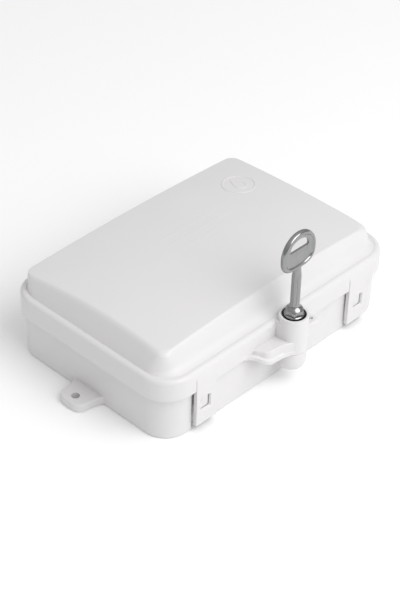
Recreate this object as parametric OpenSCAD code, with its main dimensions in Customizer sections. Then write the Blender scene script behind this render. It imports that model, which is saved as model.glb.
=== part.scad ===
// Irrigation controller: a lockable weatherproof box with its electronics inside.
// The origin is the middle of the mounting face. Z points out of that face, X runs along the long
// side, and the lock is on the -Y side.

/* [Base] */
// Length of the base along X
base_l = 200; // [198:1:203]
// Depth of the base along Y
base_d = 133; // [131:1:135]
// Radius of the base's upright corners
base_r = 17; // [14:1:20]
// Thickness of the base's walls and floor
wall = 3; // [2.6:0.2:3.2]
// Height of the base's rim above the mounting face
rim_z = 43.6; // [43:0.2:43.8]
// Distance between the two lug holes
lug_pitch = 222; // [220:1:224]
// Diameter of the lug holes
lug_hole_d = 5.5; // [4.5:0.5:6.5]
// Thickness of the lugs
lug_t = 6; // [4:0.5:8]

/* [Lid] */
// How far the skirt stands out past the base
skirt_over = 3.3; // [3.2:0.1:3.6]
// Height of the skirt's lower edge
skirt_z0 = 31.5; // [31:0.5:32.5]
// Height of the shoulder on top of the skirt
skirt_z1 = 47; // [46.6:0.2:48]
// Wall thickness of the lid
lid_wall = 2.3; // [2.1:0.1:2.4]
// Height of the lid's highest point
top_z = 64; // [62:1:68]

/* [Lock] */
// Distance of the lock's axis from the middle of the box
lock_y = 75.8; // [75.6:0.1:76.4]
// Outer radius of the lock boss
boss_r = 9.3; // [9:0.1:10]
// Radius of the bore in the lock boss
boss_bore_r = 7.8; // [7.4:0.1:7.8]
// Height of the boss's upper face
boss_z1 = 51; // [50:0.5:52]
// Height of the split between the lid's half and the base's half
boss_split_z = 25; // [24:0.5:26]
// Height of the boss's lower end
boss_z0 = 12; // [11:0.5:13]
// Height of the key's top above the boss
key_h = 61; // [56:0.5:65]
// Width of the key's bow
bow_w = 29; // [26:1:32]
// Height of the key's bow
bow_h = 26.5; // [24:0.5:28]

/* [Controls] */
// Height of the control panel's upper face
panel_z = 38.5; // [38:0.5:39]
// Radius of the selector dial
dial_r = 17; // [14:1:18]
// Number of push buttons
button_n = 4; // [4]
// Travel of a push button
button_travel = 1; // [0.5:0.1:1.2]

/* [Hidden] */
$fn = 64;
eps = 0.01;
gap = 0.3;
fit = 0.06;

hx = base_l / 2;
hy = base_d / 2;
sx = hx + skirt_over;
sy = hy + skirt_over;
skirt_r = base_r + skirt_over;
ledge_z = skirt_z1 - lid_wall;

hinge_y = sy + 4.5;
hinge_z = 30;
hinge_x = 58;
knuckle_r = 3.5;
knuckle_end = 16;
knuckle_mid = 8.7;
pin_r = 1.5;

clip_x0 = 61;
clip_x1 = 78;
clip_z0 = 4.7;
clip_out = 0.5;
clip_t = 2.3;
clip_face = sy + clip_out;
window_x0 = 66.5;
window_x1 = 74;
window_z0 = 15;
window_z1 = 24;
pocket_depth = 4;
pocket_shift = 1.5;

lug_x = lug_pitch / 2;
lug_w = 10.2;
lug_root = 11.8;
lug_r = 7;
lug_end = lug_x + 6.6;

cavity_x = hx - wall;
cavity_y = hy - wall;
flange_z = 39;
flange_in = 2.5;
gasket_w = 2.4;
gasket_in = 1.8;
gasket_z = rim_z - 2;

board_z = 9;
board_t = 1.6;
board_x0 = -86;
board_x1 = 90;
board_y0 = -47;
board_y1 = 3;
board_holes = [for (x = [-81, 87]) for (y = [-42, -2]) [x, y]];

panel_t = 2.5;
panel_x0 = -93;
panel_x1 = 29;
panel_hy = 59.5;
panel_posts = [for (x = [-86, 22]) for (y = [-52.5, 52.5]) [x, y]];
ui_board_z = 26;
ui_posts = [for (x = [-84, 18]) for (y = [-24, 44]) [x, y]];
lcd_c = [-49, 26];
lcd_hx = 28;
lcd_hy = 14;
dial_c = [0, 10];
button_y = -14;
button_x0 = -78;
button_dx = 16;
button_r = 5;
slider_c = [-54, -38];
slider_travel = 6;
led_xy = [for (i = [0:2]) [-10 + 10 * i, -38]];

gland_y = 34;
gland_z = 18;
gland_thread_r = 8;
gland_hex_r = 11;
gland_bore_r = 4;

transformer_c = [66, 34];
block_c = [58, -37];
core_hx = 21;
core_hy = 9;
core_z1 = 36.5;
core_leg_hx = 7;
core_window_hx = 14;
core_window_z = [11.5, 29.5];
core_foot_hx = 29.5;
core_foot_out = 14;
core_foot_t = 1.5;
core_foot_hole_dx = 26;
coil_hy = 16;
coil_gap = 0.2;

block_poles = 8;
block_pitch = 6;
block_hy = 7;
block_h = 13;
block_step_y = 4.5;
block_step_h = 10;
clamp_r = 2.1;
clamp_dy = 1;
clamp_floor = 5;
mouth_hx = 1.9;
mouth_z = [2, 6];

driver_w = 5.2;
driver_y = [-24, -19.5];
driver_h = 12;
driver_pitch = 7;
driver_x0 = -17.5;

tray_x = [-76, -22];
tray_y = [13, 43];
tray_z1 = 16;
tray_wall = 2;
tray_floor = 1.5;
tray_grip_x = [-60, -38];
tray_grip_z = 10;
battery_x = [-73.7, -25.2];
battery_y = [15.2, 40.8];
battery_h = 17;

header_x = [-70, -40];
header_y = [-44, -39];

screw_r = 1.25;
screw_hole_r = 1.7;
pilot_r = 1.3;
post_r = 3.4;

panel_r = 9;
panel_rim = 1.5;
panel_rim_w = 1.6;
panel_post_r = 4;
lcd_frame = 3;
lcd_h = 6;
led_r = 1.5;
encoder_hx = 6.5;
switch_hx = 3;
switch_h = 3.2;
slide_hx = 9;
slide_hy = 4;

gland_flange_t = 5;
gland_thread_out = 10;
gland_seat_r = 6.5;
gland_nut_t = 3.5;
gland_cap_z0 = 5.3;
gland_cap_hex_t = 6;
gland_cap_t = 9.7;

seal_x = 16;
seal_y = 76.5;
seal_r = 4;
seal_hole_r = 1.3;
seal_z0 = 35;
seal_z1 = 39;
seal_web_z0 = 26.7;
seal_root_x = 6;

wing_z0 = 1;
wing_flange_t = 3;
wing_t = 9.5;

boss_taper = 5;
barrel_z0 = boss_split_z + 5;
barrel_z1 = 42;
spindle_r = 3;
cam_z0 = 15.5;
cam_t = 4;
cam_r = 6.4;
cam_w = 4.8;
slot_r = 7.3;
slot_w = 8.4;
key_sq = 5;
bow_t = 3.6;
bow_slot_up = 14.7;
bow_slot_half = 7.3;
bow_slot_h = 6.2;
shank_r = 3.0;
collar_r = 5.9;
collar_h = 3.6;
flare_h = 4;

// ---------- shared shapes ----------

module plate2(half_x, half_y, r) {
    square([2 * half_x, 2 * half_y - 2 * r], center = true);
    square([2 * half_x - 2 * r, 2 * half_y], center = true);
    for (sx_ = [-1, 1]) for (sy_ = [-1, 1])
        translate([sx_ * (half_x - r), sy_ * (half_y - r)]) circle(r);
}

module block(half_x, half_y, r, z0, z1) {
    translate([0, 0, z0]) linear_extrude(z1 - z0) plate2(half_x, half_y, r);
}

module box(x0, x1, y0, y1, z0, z1) {
    translate([x0, y0, z0]) cube([x1 - x0, y1 - y0, z1 - z0]);
}

module rod(x, y, z0, z1, r) {
    translate([x, y, z0]) cylinder(h = z1 - z0, r = r);
}

module rod_x(y, z, x0, x1, r) {
    translate([x0, y, z]) rotate([0, 90, 0]) cylinder(h = x1 - x0, r = r);
}

// A pan-head screw standing on z, with its shank below and a cross slot in its head
module screw(x, y, z, shank_r, shank_l, head_r, head_h) {
    difference() {
        union() {
            rod(x, y, z - shank_l, z + eps, shank_r);
            rod(x, y, z, z + head_h, head_r);
        }
        for (a = [0, 90]) translate([x, y, z + head_h]) rotate([0, 0, a])
            cube([head_r * 1.3, head_r * 0.28, head_h], center = true);
    }
}

// ---------- base ----------

module lug(side) {
    mirror([side < 0 ? 1 : 0, 0, 0]) difference() {
        linear_extrude(lug_t) {
            polygon([[hx - wall, -lug_root], [hx, -lug_root], [lug_end - lug_r, -lug_w],
                [lug_end - lug_r, lug_w], [hx, lug_root], [hx - wall, lug_root]]);
            translate([lug_end - lug_r, 0]) square([2 * lug_r, 2 * (lug_w - lug_r)], center = true);
            for (s = [-1, 1]) translate([lug_end - lug_r, s * (lug_w - lug_r)]) circle(lug_r);
        }
        rod(lug_x, 0, -1, lug_t + 1, lug_hole_d / 2);
    }
}

module base_knuckles(cx) {
    for (x0 = [cx - knuckle_end, cx + knuckle_mid + gap])
        difference() {
            union() {
                rod_x(hinge_y, hinge_z, x0, x0 + knuckle_end - knuckle_mid - gap, knuckle_r);
                box(x0, x0 + knuckle_end - knuckle_mid - gap, hy - 1, hinge_y,
                    hinge_z - knuckle_r, hinge_z + 1);
            }
            rod_x(hinge_y, hinge_z, x0 - 1, x0 + 10, pin_r + 0.02);
        }
}

module clip_pocket(side) {
    mirror([side < 0 ? 1 : 0, 0, 0])
        box(clip_x0 + pocket_shift, clip_x1 + pocket_shift, -hy - 1, -hy + pocket_depth, -1,
            skirt_z0 + 1.5);
}

module clip_pad(side) {
    mirror([side < 0 ? 1 : 0, 0, 0])
        box(clip_x0 - 2, clip_x1 + 4.5, -hy + wall - 1, -hy + pocket_depth + 3, 1, skirt_z0 + 4);
}

// Wedge that the clip's window catches on: sloped above, flat below
module clip_barb(side) {
    nose = clip_face - clip_t - gap;
    mirror([side < 0 ? 1 : 0, 0, 0]) translate([window_x0 + 0.6, 0, 0])
        rotate([90, 0, 90]) linear_extrude(window_x1 - window_x0 - 1.2)
            polygon([[-hy + pocket_depth + 1, window_z0 + 0.4], [-nose, window_z0 + 0.4],
                [-nose, window_z0 + 2], [-hy + pocket_depth + 1, window_z1 + 1]]);
}

module lower_boss() {
    union() {
        rod(0, -lock_y, boss_z0 + boss_taper, boss_split_z, boss_r);
        translate([0, -lock_y, boss_z0])
            cylinder(h = boss_taper + eps, r1 = boss_r - 2, r2 = boss_r);
        box(-boss_r, boss_r, -lock_y, -hy + 1, boss_z0 + 4, boss_split_z);
    }
}

module lower_boss_bore() {
    rod(0, -lock_y, boss_z0 + 2, boss_split_z - 3.5, cam_r + 0.6);
    intersection() {
        rod(0, -lock_y, boss_split_z - 4, boss_split_z + 1, slot_r);
        box(-10, 10, -lock_y - slot_w / 2, -lock_y + slot_w / 2, 0, boss_split_z + 1);
    }
}

module base_case() color("white") {
    difference() {
        union() {
            difference() {
                union() {
                    block(hx, hy, base_r, 0, rim_z);
                    lower_boss();
                }
                block(cavity_x, cavity_y, base_r - wall, wall, flange_z);
                block(cavity_x - flange_in, cavity_y - flange_in, base_r - wall - flange_in,
                    flange_z - 1, rim_z + 1);
                gasket_ring(0, rim_z + 1);
            }
            for (s = [-1, 1]) {
                lug(s);
                base_knuckles(s * hinge_x);
                clip_pad(s);
            }
            for (p = board_holes) rod(p[0], p[1], wall - 1, board_z, post_r);
            for (p = panel_posts) rod(p[0], p[1], wall - 1, panel_z - panel_t, panel_post_r);
        }
        for (s = [-1, 1]) clip_pocket(s);
        lower_boss_bore();
        for (p = board_holes) rod(p[0], p[1], board_z - 5, board_z + 1, pilot_r);
        for (p = panel_posts) rod(p[0], p[1], panel_z - panel_t - 12, panel_z, pilot_r);
        for (p = transformer_feet()) rod(p[0], p[1], 0.8, wall + 1, pilot_r);
        for (s = [-1, 1]) rod_x(s * gland_y, gland_z, hx - wall - 1, hx + 1, gland_thread_r + 0.1);
    }
    for (s = [-1, 1]) clip_barb(s);
}

// The seal's ring, from gasket_z up to z1, with its sides moved in by ease
module gasket_ring(ease, z1) {
    outer_in = gasket_in + ease;
    inner_in = gasket_in + gasket_w - ease;
    difference() {
        block(hx - outer_in, hy - outer_in, base_r - outer_in, gasket_z, z1);
        block(hx - inner_in, hy - inner_in, base_r - inner_in, gasket_z - 1, z1 + 1);
    }
}

module rim_gasket() color("dimgray") gasket_ring(0.05, ledge_z - gap);

module hinge_pin(side) color("silver")
    rod_x(hinge_y, hinge_z, side * hinge_x - knuckle_end - 0.5, side * hinge_x + knuckle_end + 0.5,
        pin_r);

// ---------- cable glands ----------

module at_gland(side) {
    translate([hx, side * gland_y, gland_z]) rotate([0, 90, 0]) children();
}

module gland_body(side) color("gray") at_gland(side) difference() {
    union() {
        translate([0, 0, -wall - 6]) cylinder(h = wall + 6 + eps, r = gland_thread_r);
        cylinder(h = gland_flange_t, r = gland_hex_r, $fn = 6);
        cylinder(h = gland_thread_out, r = gland_thread_r);
    }
    translate([0, 0, -20]) cylinder(h = 24, r = gland_seat_r - 1);
    translate([0, 0, 3]) cylinder(h = 8, r = gland_seat_r);
}

module gland_cap(side) color("gray") at_gland(side) difference() {
    union() {
        translate([0, 0, gland_cap_z0])
            cylinder(h = gland_cap_hex_t, r = gland_hex_r - 0.8, $fn = 6);
        translate([0, 0, gland_cap_z0 + gland_cap_hex_t - eps])
            cylinder(h = gland_cap_t - gland_cap_hex_t, r1 = gland_hex_r - 2, r2 = gland_seat_r + 0.1);
    }
    translate([0, 0, gland_cap_z0 - gap])
        cylinder(h = gland_thread_out - gland_cap_z0 + 2 * gap, r = gland_thread_r + 0.05);
    translate([0, 0, gland_cap_z0 - gap]) cylinder(h = 20, r = gland_bore_r + 0.6);
}

module gland_seal(side) color("black") at_gland(side) difference() {
    translate([0, 0, 3]) cylinder(h = 7.2, r = gland_seat_r - 0.05);
    translate([0, 0, 2]) cylinder(h = 10, r = gland_bore_r);
}

module gland_locknut(side) color("gray") at_gland(side) difference() {
    translate([0, 0, -wall - gland_nut_t]) cylinder(h = gland_nut_t, r = gland_hex_r, $fn = 6);
    translate([0, 0, -20]) cylinder(h = 20, r = gland_thread_r + 0.05);
}

// ---------- electronics in the base ----------

module main_board() color("darkgreen") difference() {
    box(board_x0, board_x1, board_y0, board_y1, board_z, board_z + board_t);
    for (p = board_holes) rod(p[0], p[1], board_z - 1, board_z + 3, screw_hole_r);
}

module board_screws() color("silver")
    for (p = board_holes) screw(p[0], p[1], board_z + board_t, screw_r, 5, 2.8, 1.8);

module valve_drivers() color("black")
    for (i = [0:block_poles - 3]) {
        x = block_c[0] + driver_x0 + driver_pitch * i;
        box(x - driver_w / 2, x + driver_w / 2, driver_y[0], driver_y[1], board_z + board_t,
            board_z + board_t + driver_h);
    }

function pole_x(i) = block_c[0] + block_pitch * (i + 0.5 - block_poles / 2);

module terminal_block() color("green") {
    half = block_poles * block_pitch / 2;
    y = block_c[1];
    z0 = board_z + board_t;
    difference() {
        box(block_c[0] - half, block_c[0] + half, y - block_hy, y + block_hy, z0, z0 + block_h);
        box(block_c[0] - half - 1, block_c[0] + half + 1, y - block_hy - 1, y - block_step_y,
            z0 + block_step_h, z0 + block_h + 1);
        for (i = [0:block_poles - 1]) {
            rod(pole_x(i), y + clamp_dy, z0 + clamp_floor, z0 + block_h + 1, clamp_r);
            box(pole_x(i) - mouth_hx, pole_x(i) + mouth_hx, y - block_hy - 1, y - 2, z0 + mouth_z[0],
                z0 + mouth_z[1]);
        }
    }
}

module terminal_screws() color("silver")
    for (i = [0:block_poles - 1]) {
        x = pole_x(i);
        y = block_c[1] + clamp_dy;
        z = board_z + board_t + clamp_floor;
        difference() {
            rod(x, y, z, z + 6, clamp_r - 0.1);
            box(x - 3, x + 3, y - 0.4, y + 0.4, z + 5, z + 7);
        }
    }

function transformer_feet() =
    [for (s = [-1, 1]) [transformer_c[0] + core_foot_hole_dx * s, transformer_c[1] - core_hy]];

module transformer_core() color("slategray") {
    x = transformer_c[0];
    y = transformer_c[1];
    z0 = wall + core_foot_t;
    difference() {
        box(x - core_hx, x + core_hx, y - core_hy, y + core_hy, z0, core_z1);
        for (x0 = [x - core_window_hx, x + core_leg_hx])
            box(x0, x0 + core_window_hx - core_leg_hx, y - core_hy - 1, y + core_hy + 1,
                core_window_z[0], core_window_z[1]);
    }
    difference() {
        box(x - core_foot_hx, x + core_foot_hx, y - core_foot_out, y + core_hy, wall, z0);
        for (p = transformer_feet()) rod(p[0], p[1], 0, 10, screw_hole_r);
    }
}

module transformer_winding() color("orange") {
    x = transformer_c[0];
    y = transformer_c[1];
    half = core_window_hx - coil_gap;
    leg = core_leg_hx + 0.05;
    leg_y = core_hy + 0.05;
    difference() {
        box(x - half, x + half, y - coil_hy, y + coil_hy, core_window_z[0] + coil_gap,
            core_window_z[1] - coil_gap);
        box(x - leg, x + leg, y - leg_y, y + leg_y, core_window_z[0] - 1, core_window_z[1] + 1);
    }
}

module transformer_screws() color("silver")
    for (p = transformer_feet()) screw(p[0], p[1], wall + core_foot_t, screw_r, 3.4, 2.8, 1.8);

module battery_tray() color("black") difference() {
    box(tray_x[0], tray_x[1], tray_y[0], tray_y[1], wall, tray_z1);
    box(tray_x[0] + tray_wall, tray_x[1] - tray_wall, tray_y[0] + tray_wall, tray_y[1] - tray_wall,
        wall + tray_floor, tray_z1 + 1);
    box(tray_grip_x[0], tray_grip_x[1], tray_y[0] - 1, tray_y[1] + 1, tray_grip_z, tray_z1 + 1);
}

module backup_battery() color("gold")
    box(battery_x[0], battery_x[1], battery_y[0], battery_y[1], wall + tray_floor,
        wall + tray_floor + battery_h);

// ---------- control panel ----------

module panel_plate() color("gainsboro") difference() {
    z0 = panel_z - panel_t;
    cx = (panel_x0 + panel_x1) / 2;
    half = (panel_x1 - panel_x0) / 2;
    union() {
        translate([cx, 0, 0]) difference() {
            block(half, panel_hy, panel_r, z0, panel_z + panel_rim);
            block(half - panel_rim_w, panel_hy - panel_rim_w, panel_r - panel_rim_w, panel_z,
                panel_z + panel_rim + 1);
        }
        for (p = ui_posts) rod(p[0], p[1], ui_board_z + board_t, z0 + 1, 3);
    }
    for (p = panel_posts) rod(p[0], p[1], z0 - 1, panel_z + 1, screw_hole_r);
    for (p = ui_posts) rod(p[0], p[1], ui_board_z, z0 - 1, pilot_r);
    box(lcd_c[0] - lcd_hx, lcd_c[0] + lcd_hx, lcd_c[1] - lcd_hy, lcd_c[1] + lcd_hy, z0 - 1,
        panel_z + 1);
    rod(dial_c[0], dial_c[1], z0 - 1, panel_z + 1, 5);
    for (i = [0:button_n - 1])
        rod(button_x0 + button_dx * i, button_y, z0 - 1, panel_z + 1, button_r + gap);
    box(slider_c[0] - slider_travel / 2 - 2.6, slider_c[0] + slider_travel / 2 + 2.6,
        slider_c[1] - 2, slider_c[1] + 2, z0 - 1, panel_z + 1);
    for (p = led_xy) rod(p[0], p[1], z0 - 1, panel_z + 1, led_r + 0.1);
}

module panel_screws() color("silver")
    for (p = panel_posts) screw(p[0], p[1], panel_z, screw_r, 12, 3, 2);

module display_board() color("darkgreen") difference() {
    box(-88, 22, -46, 48, ui_board_z, ui_board_z + board_t);
    for (p = ui_posts) rod(p[0], p[1], ui_board_z - 1, ui_board_z + 3, screw_hole_r);
}

module display_screws() color("silver")
    for (p = ui_posts) translate([0, 0, 2 * ui_board_z]) mirror([0, 0, 1])
        screw(p[0], p[1], ui_board_z, screw_r, 7, 2.8, 1.8);

module display_module() color("darkseagreen") {
    z0 = ui_board_z + board_t;
    half_x = lcd_hx + lcd_frame;
    half_y = lcd_hy + lcd_frame;
    box(lcd_c[0] - half_x, lcd_c[0] + half_x, lcd_c[1] - half_y, lcd_c[1] + half_y, z0, z0 + lcd_h);
}

module display_window() color("lightblue") {
    box(lcd_c[0] - lcd_hx + 0.1, lcd_c[0] + lcd_hx - 0.1, lcd_c[1] - lcd_hy + 0.1,
        lcd_c[1] + lcd_hy - 0.1, ui_board_z + board_t + lcd_h, panel_z - 0.5);
}

module status_leds() color("green")
    for (p = led_xy) {
        rod(p[0], p[1], ui_board_z + board_t, panel_z - 1, led_r);
        translate([p[0], p[1], panel_z - 1]) sphere(led_r);
    }

module dial_encoder() color("dimgray") {
    z0 = ui_board_z + board_t;
    difference() {
        union() {
            translate([dial_c[0], dial_c[1], z0]) block(encoder_hx, encoder_hx, 1, 0, 5);
            rod(dial_c[0], dial_c[1], z0, z0 + 7.5, 4.5);
        }
        rod(dial_c[0], dial_c[1], z0 + 3, z0 + 9, 3.05);
    }
}

module key_switches() color("black")
    for (i = [0:button_n - 1]) {
        x = button_x0 + button_dx * i;
        z0 = ui_board_z + board_t;
        box(x - switch_hx, x + switch_hx, button_y - switch_hx, button_y + switch_hx, z0, z0 + switch_h);
        rod(x, button_y, z0 + switch_h - 0.2, z0 + switch_h + 0.4, 1.7);
    }

module slide_switch() color("silver") {
    z0 = ui_board_z + board_t;
    difference() {
        box(slider_c[0] - slide_hx, slider_c[0] + slide_hx, slider_c[1] - slide_hy,
            slider_c[1] + slide_hy, z0, z0 + 6);
        box(slider_c[0] - slider_travel / 2 - 2.4, slider_c[0] + slider_travel / 2 + 2.4,
            slider_c[1] - 1.6, slider_c[1] + 1.6, z0 + 2, z0 + 7);
    }
}

module board_header() color("black") {
    z0 = board_z + board_t;
    box(header_x[0], header_x[1], header_y[0], header_y[1], z0, ui_board_z);
}

// ---------- lid ----------

// Solid under the lid's crown, lowered by drop: an arc along Y swept along a wider arc along X
module crown(drop) {
    arc_y = 589;
    arc_x = 1663;
    peak_y = -12;
    reach = 84;
    n = 20;
    ring = [for (i = [0:n])
        let(y = -reach + 2 * reach * i / n)
            [arc_x - arc_y + sqrt(arc_y * arc_y - y * y) - drop, y]];
    translate([0, peak_y, top_z - arc_x]) rotate([90, -86, 0]) mirror([0, 0, 1])
        rotate_extrude(angle = 8, $fn = 720)
            polygon(concat([[arc_x - 60, -reach]], ring, [[arc_x - 60, reach]]));
}

module dome(inset, drop) {
    intersection() {
        hull() {
            block(hx - 0.7 - inset, hy - 0.5 - inset, base_r - inset, skirt_z1 - 1 - drop,
                skirt_z1 - 0.9 - drop);
            translate([0, 5.4, 0]) block(hx - 10.8 - inset, hy - 9.1 - inset, 7 - inset, 66, 66.1);
        }
        crown(drop);
    }
}

module upper_boss() {
    rod(0, -lock_y, boss_split_z + gap, boss_z1, boss_r);
    box(-boss_r, boss_r, -lock_y, -hy - 1, boss_split_z + gap, boss_z1 - 2);
}

// Wing on the boss's -X side, with a flange along its lower edge
module wing() {
    z0 = boss_split_z + wing_z0;
    y0 = -hy - 1;
    translate([0, 0, z0 + wing_flange_t]) linear_extrude(wing_t - wing_flange_t)
        polygon([[0, y0], [-30, y0], [-26.5, -74.5], [-25, -77], [-22.5, -78.4], [-20, -78.6],
            [-15, -79.2], [-10, -81], [-5.5, -83.3], [0, -84]]);
    translate([0, 0, z0]) linear_extrude(wing_flange_t + eps)
        polygon([[0, y0], [-36, y0], [-31, -71.8], [-27.5, -75.6], [-25.5, -78], [-22.5, -79.8],
            [-15, -80.4], [-10, -81.6], [-5.5, -83.3], [0, -84]]);
}

// A slice of the seal's ear, its round end moved in by back
module seal_slice(back, r, z0, z1) {
    rod(seal_x - back, -seal_y, z0, z1, r);
    box(seal_root_x, seal_x - back, -seal_y - r, -seal_y + seal_r, z0, z1);
}

// Ear for a seal on the boss's +X side, on a web that tapers down
module lid_seal_tab() {
    seal_slice(0, seal_r, seal_z0, seal_z1);
    hull() {
        seal_slice(3, seal_r - 0.4, seal_z0, seal_z0 + 0.1);
        seal_slice(8.2, 2.6, seal_web_z0, seal_web_z0 + 0.1);
    }
}

module clip(side) {
    mirror([side < 0 ? 1 : 0, 0, 0]) difference() {
        box(clip_x0, clip_x1, -clip_face, -clip_face + clip_t, clip_z0, skirt_z1 - 2);
        box(window_x0, window_x1, -clip_face - 1, -clip_face + clip_t + 1, window_z0, window_z1);
    }
}

module lid_knuckle(cx) {
    rod_x(hinge_y, hinge_z, cx - knuckle_mid, cx + knuckle_mid, knuckle_r);
    translate([cx - knuckle_mid, 0, 0]) rotate([90, 0, 90]) linear_extrude(2 * knuckle_mid)
        polygon([[sy - 1.5, skirt_z0], [hinge_y, skirt_z0], [hinge_y + 3, hinge_z + 2],
            [sy + 1, skirt_z0 + 9], [sy - 1.5, skirt_z0 + 9]]);
}

module lid_shell() color("white") difference() {
    union() {
        block(sx, sy, skirt_r, skirt_z0, skirt_z1);
        dome(0, 0);
        upper_boss();
        wing();
        lid_seal_tab();
        for (s = [-1, 1]) {
            clip(s);
            lid_knuckle(s * hinge_x);
        }
    }
    block(sx - lid_wall, sy - lid_wall, skirt_r - lid_wall, skirt_z0 - 1, ledge_z);
    dome(lid_wall, lid_wall);
    rod(0, -lock_y, barrel_z0, boss_z1 + 1, boss_bore_r);
    rod(0, -lock_y, boss_split_z - 1, barrel_z0 + 1, spindle_r + fit);
    rod(seal_x, -seal_y, seal_web_z0 - 1, seal_z1 + 1, seal_hole_r);
    for (s = [-1, 1])
        rod_x(hinge_y, hinge_z, s * hinge_x - knuckle_end, s * hinge_x + knuckle_end, pin_r + fit);
}

// ---------- lock and key ----------

module lock_ring() color("black") difference() {
    rod(0, -lock_y, barrel_z1 + gap, boss_z1 - 0.6, boss_bore_r - 0.02);
    rod(0, -lock_y, barrel_z1, boss_z1, collar_r + 0.4);
}

module lock_barrel() color("dimgray") difference() {
    union() {
        rod(0, -lock_y, barrel_z0 + fit, barrel_z1, boss_bore_r - fit);
        rod(0, -lock_y, cam_z0 + cam_t, barrel_z0 + 1, spindle_r);
    }
    translate([0, -lock_y, barrel_z1 - 10]) block(key_sq / 2 + 0.1, key_sq / 2 + 0.1, 0.4, 0, 11);
    rod(0, -lock_y, cam_z0, cam_z0 + cam_t + 8, 1.3);
}

module lock_cam() color("silver") difference() {
    intersection() {
        rod(0, -lock_y, cam_z0, cam_z0 + cam_t, cam_r);
        box(-10, 10, -lock_y - cam_w / 2, -lock_y + cam_w / 2, cam_z0, cam_z0 + cam_t);
    }
    rod(0, -lock_y, cam_z0 - 1, cam_z0 + cam_t + 1, 1.4);
}

module cam_screw() color("silver") translate([0, 0, 2 * cam_z0]) mirror([0, 0, 1])
    screw(0, -lock_y, cam_z0, 1.25, 11, 2.2, 1);

// Outline of the key's bow in X and Z: an oval with its lower end cut off flat
module bow2() {
    widest = 0.47 * bow_h;
    intersection() {
        translate([0, widest]) scale([bow_w / 2, bow_h - widest]) circle(1);
        translate([-bow_w / 2, 0]) square([bow_w, bow_h]);
    }
}

// The bow's half-moon slot for a key ring, on its straight lower edge
module bow_slot2() {
    intersection() {
        scale([bow_slot_half, bow_slot_h]) circle(1);
        translate([-bow_slot_half, 0]) square([2 * bow_slot_half, bow_slot_h]);
    }
}

module key() color("silver") translate([0, -lock_y, 0]) {
    z_shoulder = barrel_z1 + 2 * gap;
    bow_z0 = boss_z1 + key_h - bow_h;
    block(key_sq / 2, key_sq / 2, 0.3, barrel_z1 - 9, z_shoulder + eps);
    translate([0, 0, z_shoulder]) cylinder(h = boss_z1 - z_shoulder, r = collar_r, $fn = 6);
    translate([0, 0, boss_z1 - eps]) cylinder(h = collar_h, r1 = collar_r, r2 = collar_r - 0.4);
    translate([0, 0, boss_z1 + collar_h - 2 * eps]) cylinder(h = flare_h, r1 = collar_r - 0.4, r2 = shank_r);
    translate([0, 0, boss_z1 + collar_h]) cylinder(h = bow_z0 - boss_z1 - collar_h + 1, r = shank_r);
    difference() {
        translate([0, bow_t / 2, bow_z0]) rotate([90, 0, 0]) linear_extrude(bow_t) bow2();
        translate([0, bow_t, bow_z0 + bow_slot_up]) rotate([90, 0, 0])
            linear_extrude(2 * bow_t) bow_slot2();
    }
}

// ---------- controls that move ----------

module dial_knob() color("dimgray") translate([dial_c[0], dial_c[1], 0]) difference() {
    union() {
        translate([0, 0, panel_z + 0.5]) cylinder(h = 3, r = dial_r);
        translate([0, 0, panel_z + 3.5 - eps]) cylinder(h = 7, r1 = dial_r - 3, r2 = dial_r - 4);
        translate([0, 0, ui_board_z + board_t + 4]) cylinder(h = 12, r = 3);
    }
    translate([0, dial_r - 5, panel_z + 11]) cube([1.6, 6, 2], center = true);
}

module push_button(i) color("dodgerblue") translate([button_x0 + button_dx * (i - 1), button_y, 0]) {
    z_stem = ui_board_z + board_t + 3.6 + button_travel + 0.2;
    translate([0, 0, z_stem]) cylinder(h = panel_z - panel_t - z_stem, r = 2);
    translate([0, 0, panel_z - panel_t - 1.6]) cylinder(h = 1.3, r = button_r + 1.2);
    translate([0, 0, panel_z - panel_t - 0.4]) cylinder(h = panel_t + 2, r = button_r);
}

module sensor_slider() color("dodgerblue")
    translate([slider_c[0] - slider_travel / 2, slider_c[1], ui_board_z + board_t])
        block(2, 1.4, 0.4, 2.3, panel_z - ui_board_z - board_t + 2);

base_case();
rim_gasket();
hinge_pin(-1);  // hinge_pin_left
hinge_pin(1);  // hinge_pin_right
gland_body(-1);  // gland_body_1
gland_body(1);  // gland_body_2
gland_cap(-1);  // gland_cap_1
gland_cap(1);  // gland_cap_2
gland_seal(-1);  // gland_seal_1
gland_seal(1);  // gland_seal_2
gland_locknut(-1);  // gland_locknut_1
gland_locknut(1);  // gland_locknut_2
main_board();
board_screws();
valve_drivers();
terminal_block();
terminal_screws();
transformer_core();
transformer_winding();
transformer_screws();
battery_tray();
backup_battery();
panel_plate();
panel_screws();
display_board();
display_screws();
display_module();
display_window();
status_leds();
dial_encoder();
key_switches();
slide_switch();
board_header();
lid_shell();
lock_ring();
lock_barrel();
lock_cam();
cam_screw();
key();
dial_knob();
push_button(1);  // button_1
push_button(2);  // button_2
push_button(3);  // button_3
push_button(4);  // button_4
sensor_slider();
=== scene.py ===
"""Looks of the lockable irrigation controller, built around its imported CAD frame.

Lengths are millimetres in the CAD frame. MM turns them into metres where they reach Blender.
"""

import math

import bmesh
import bpy
from mathutils import Matrix, Vector


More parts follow.
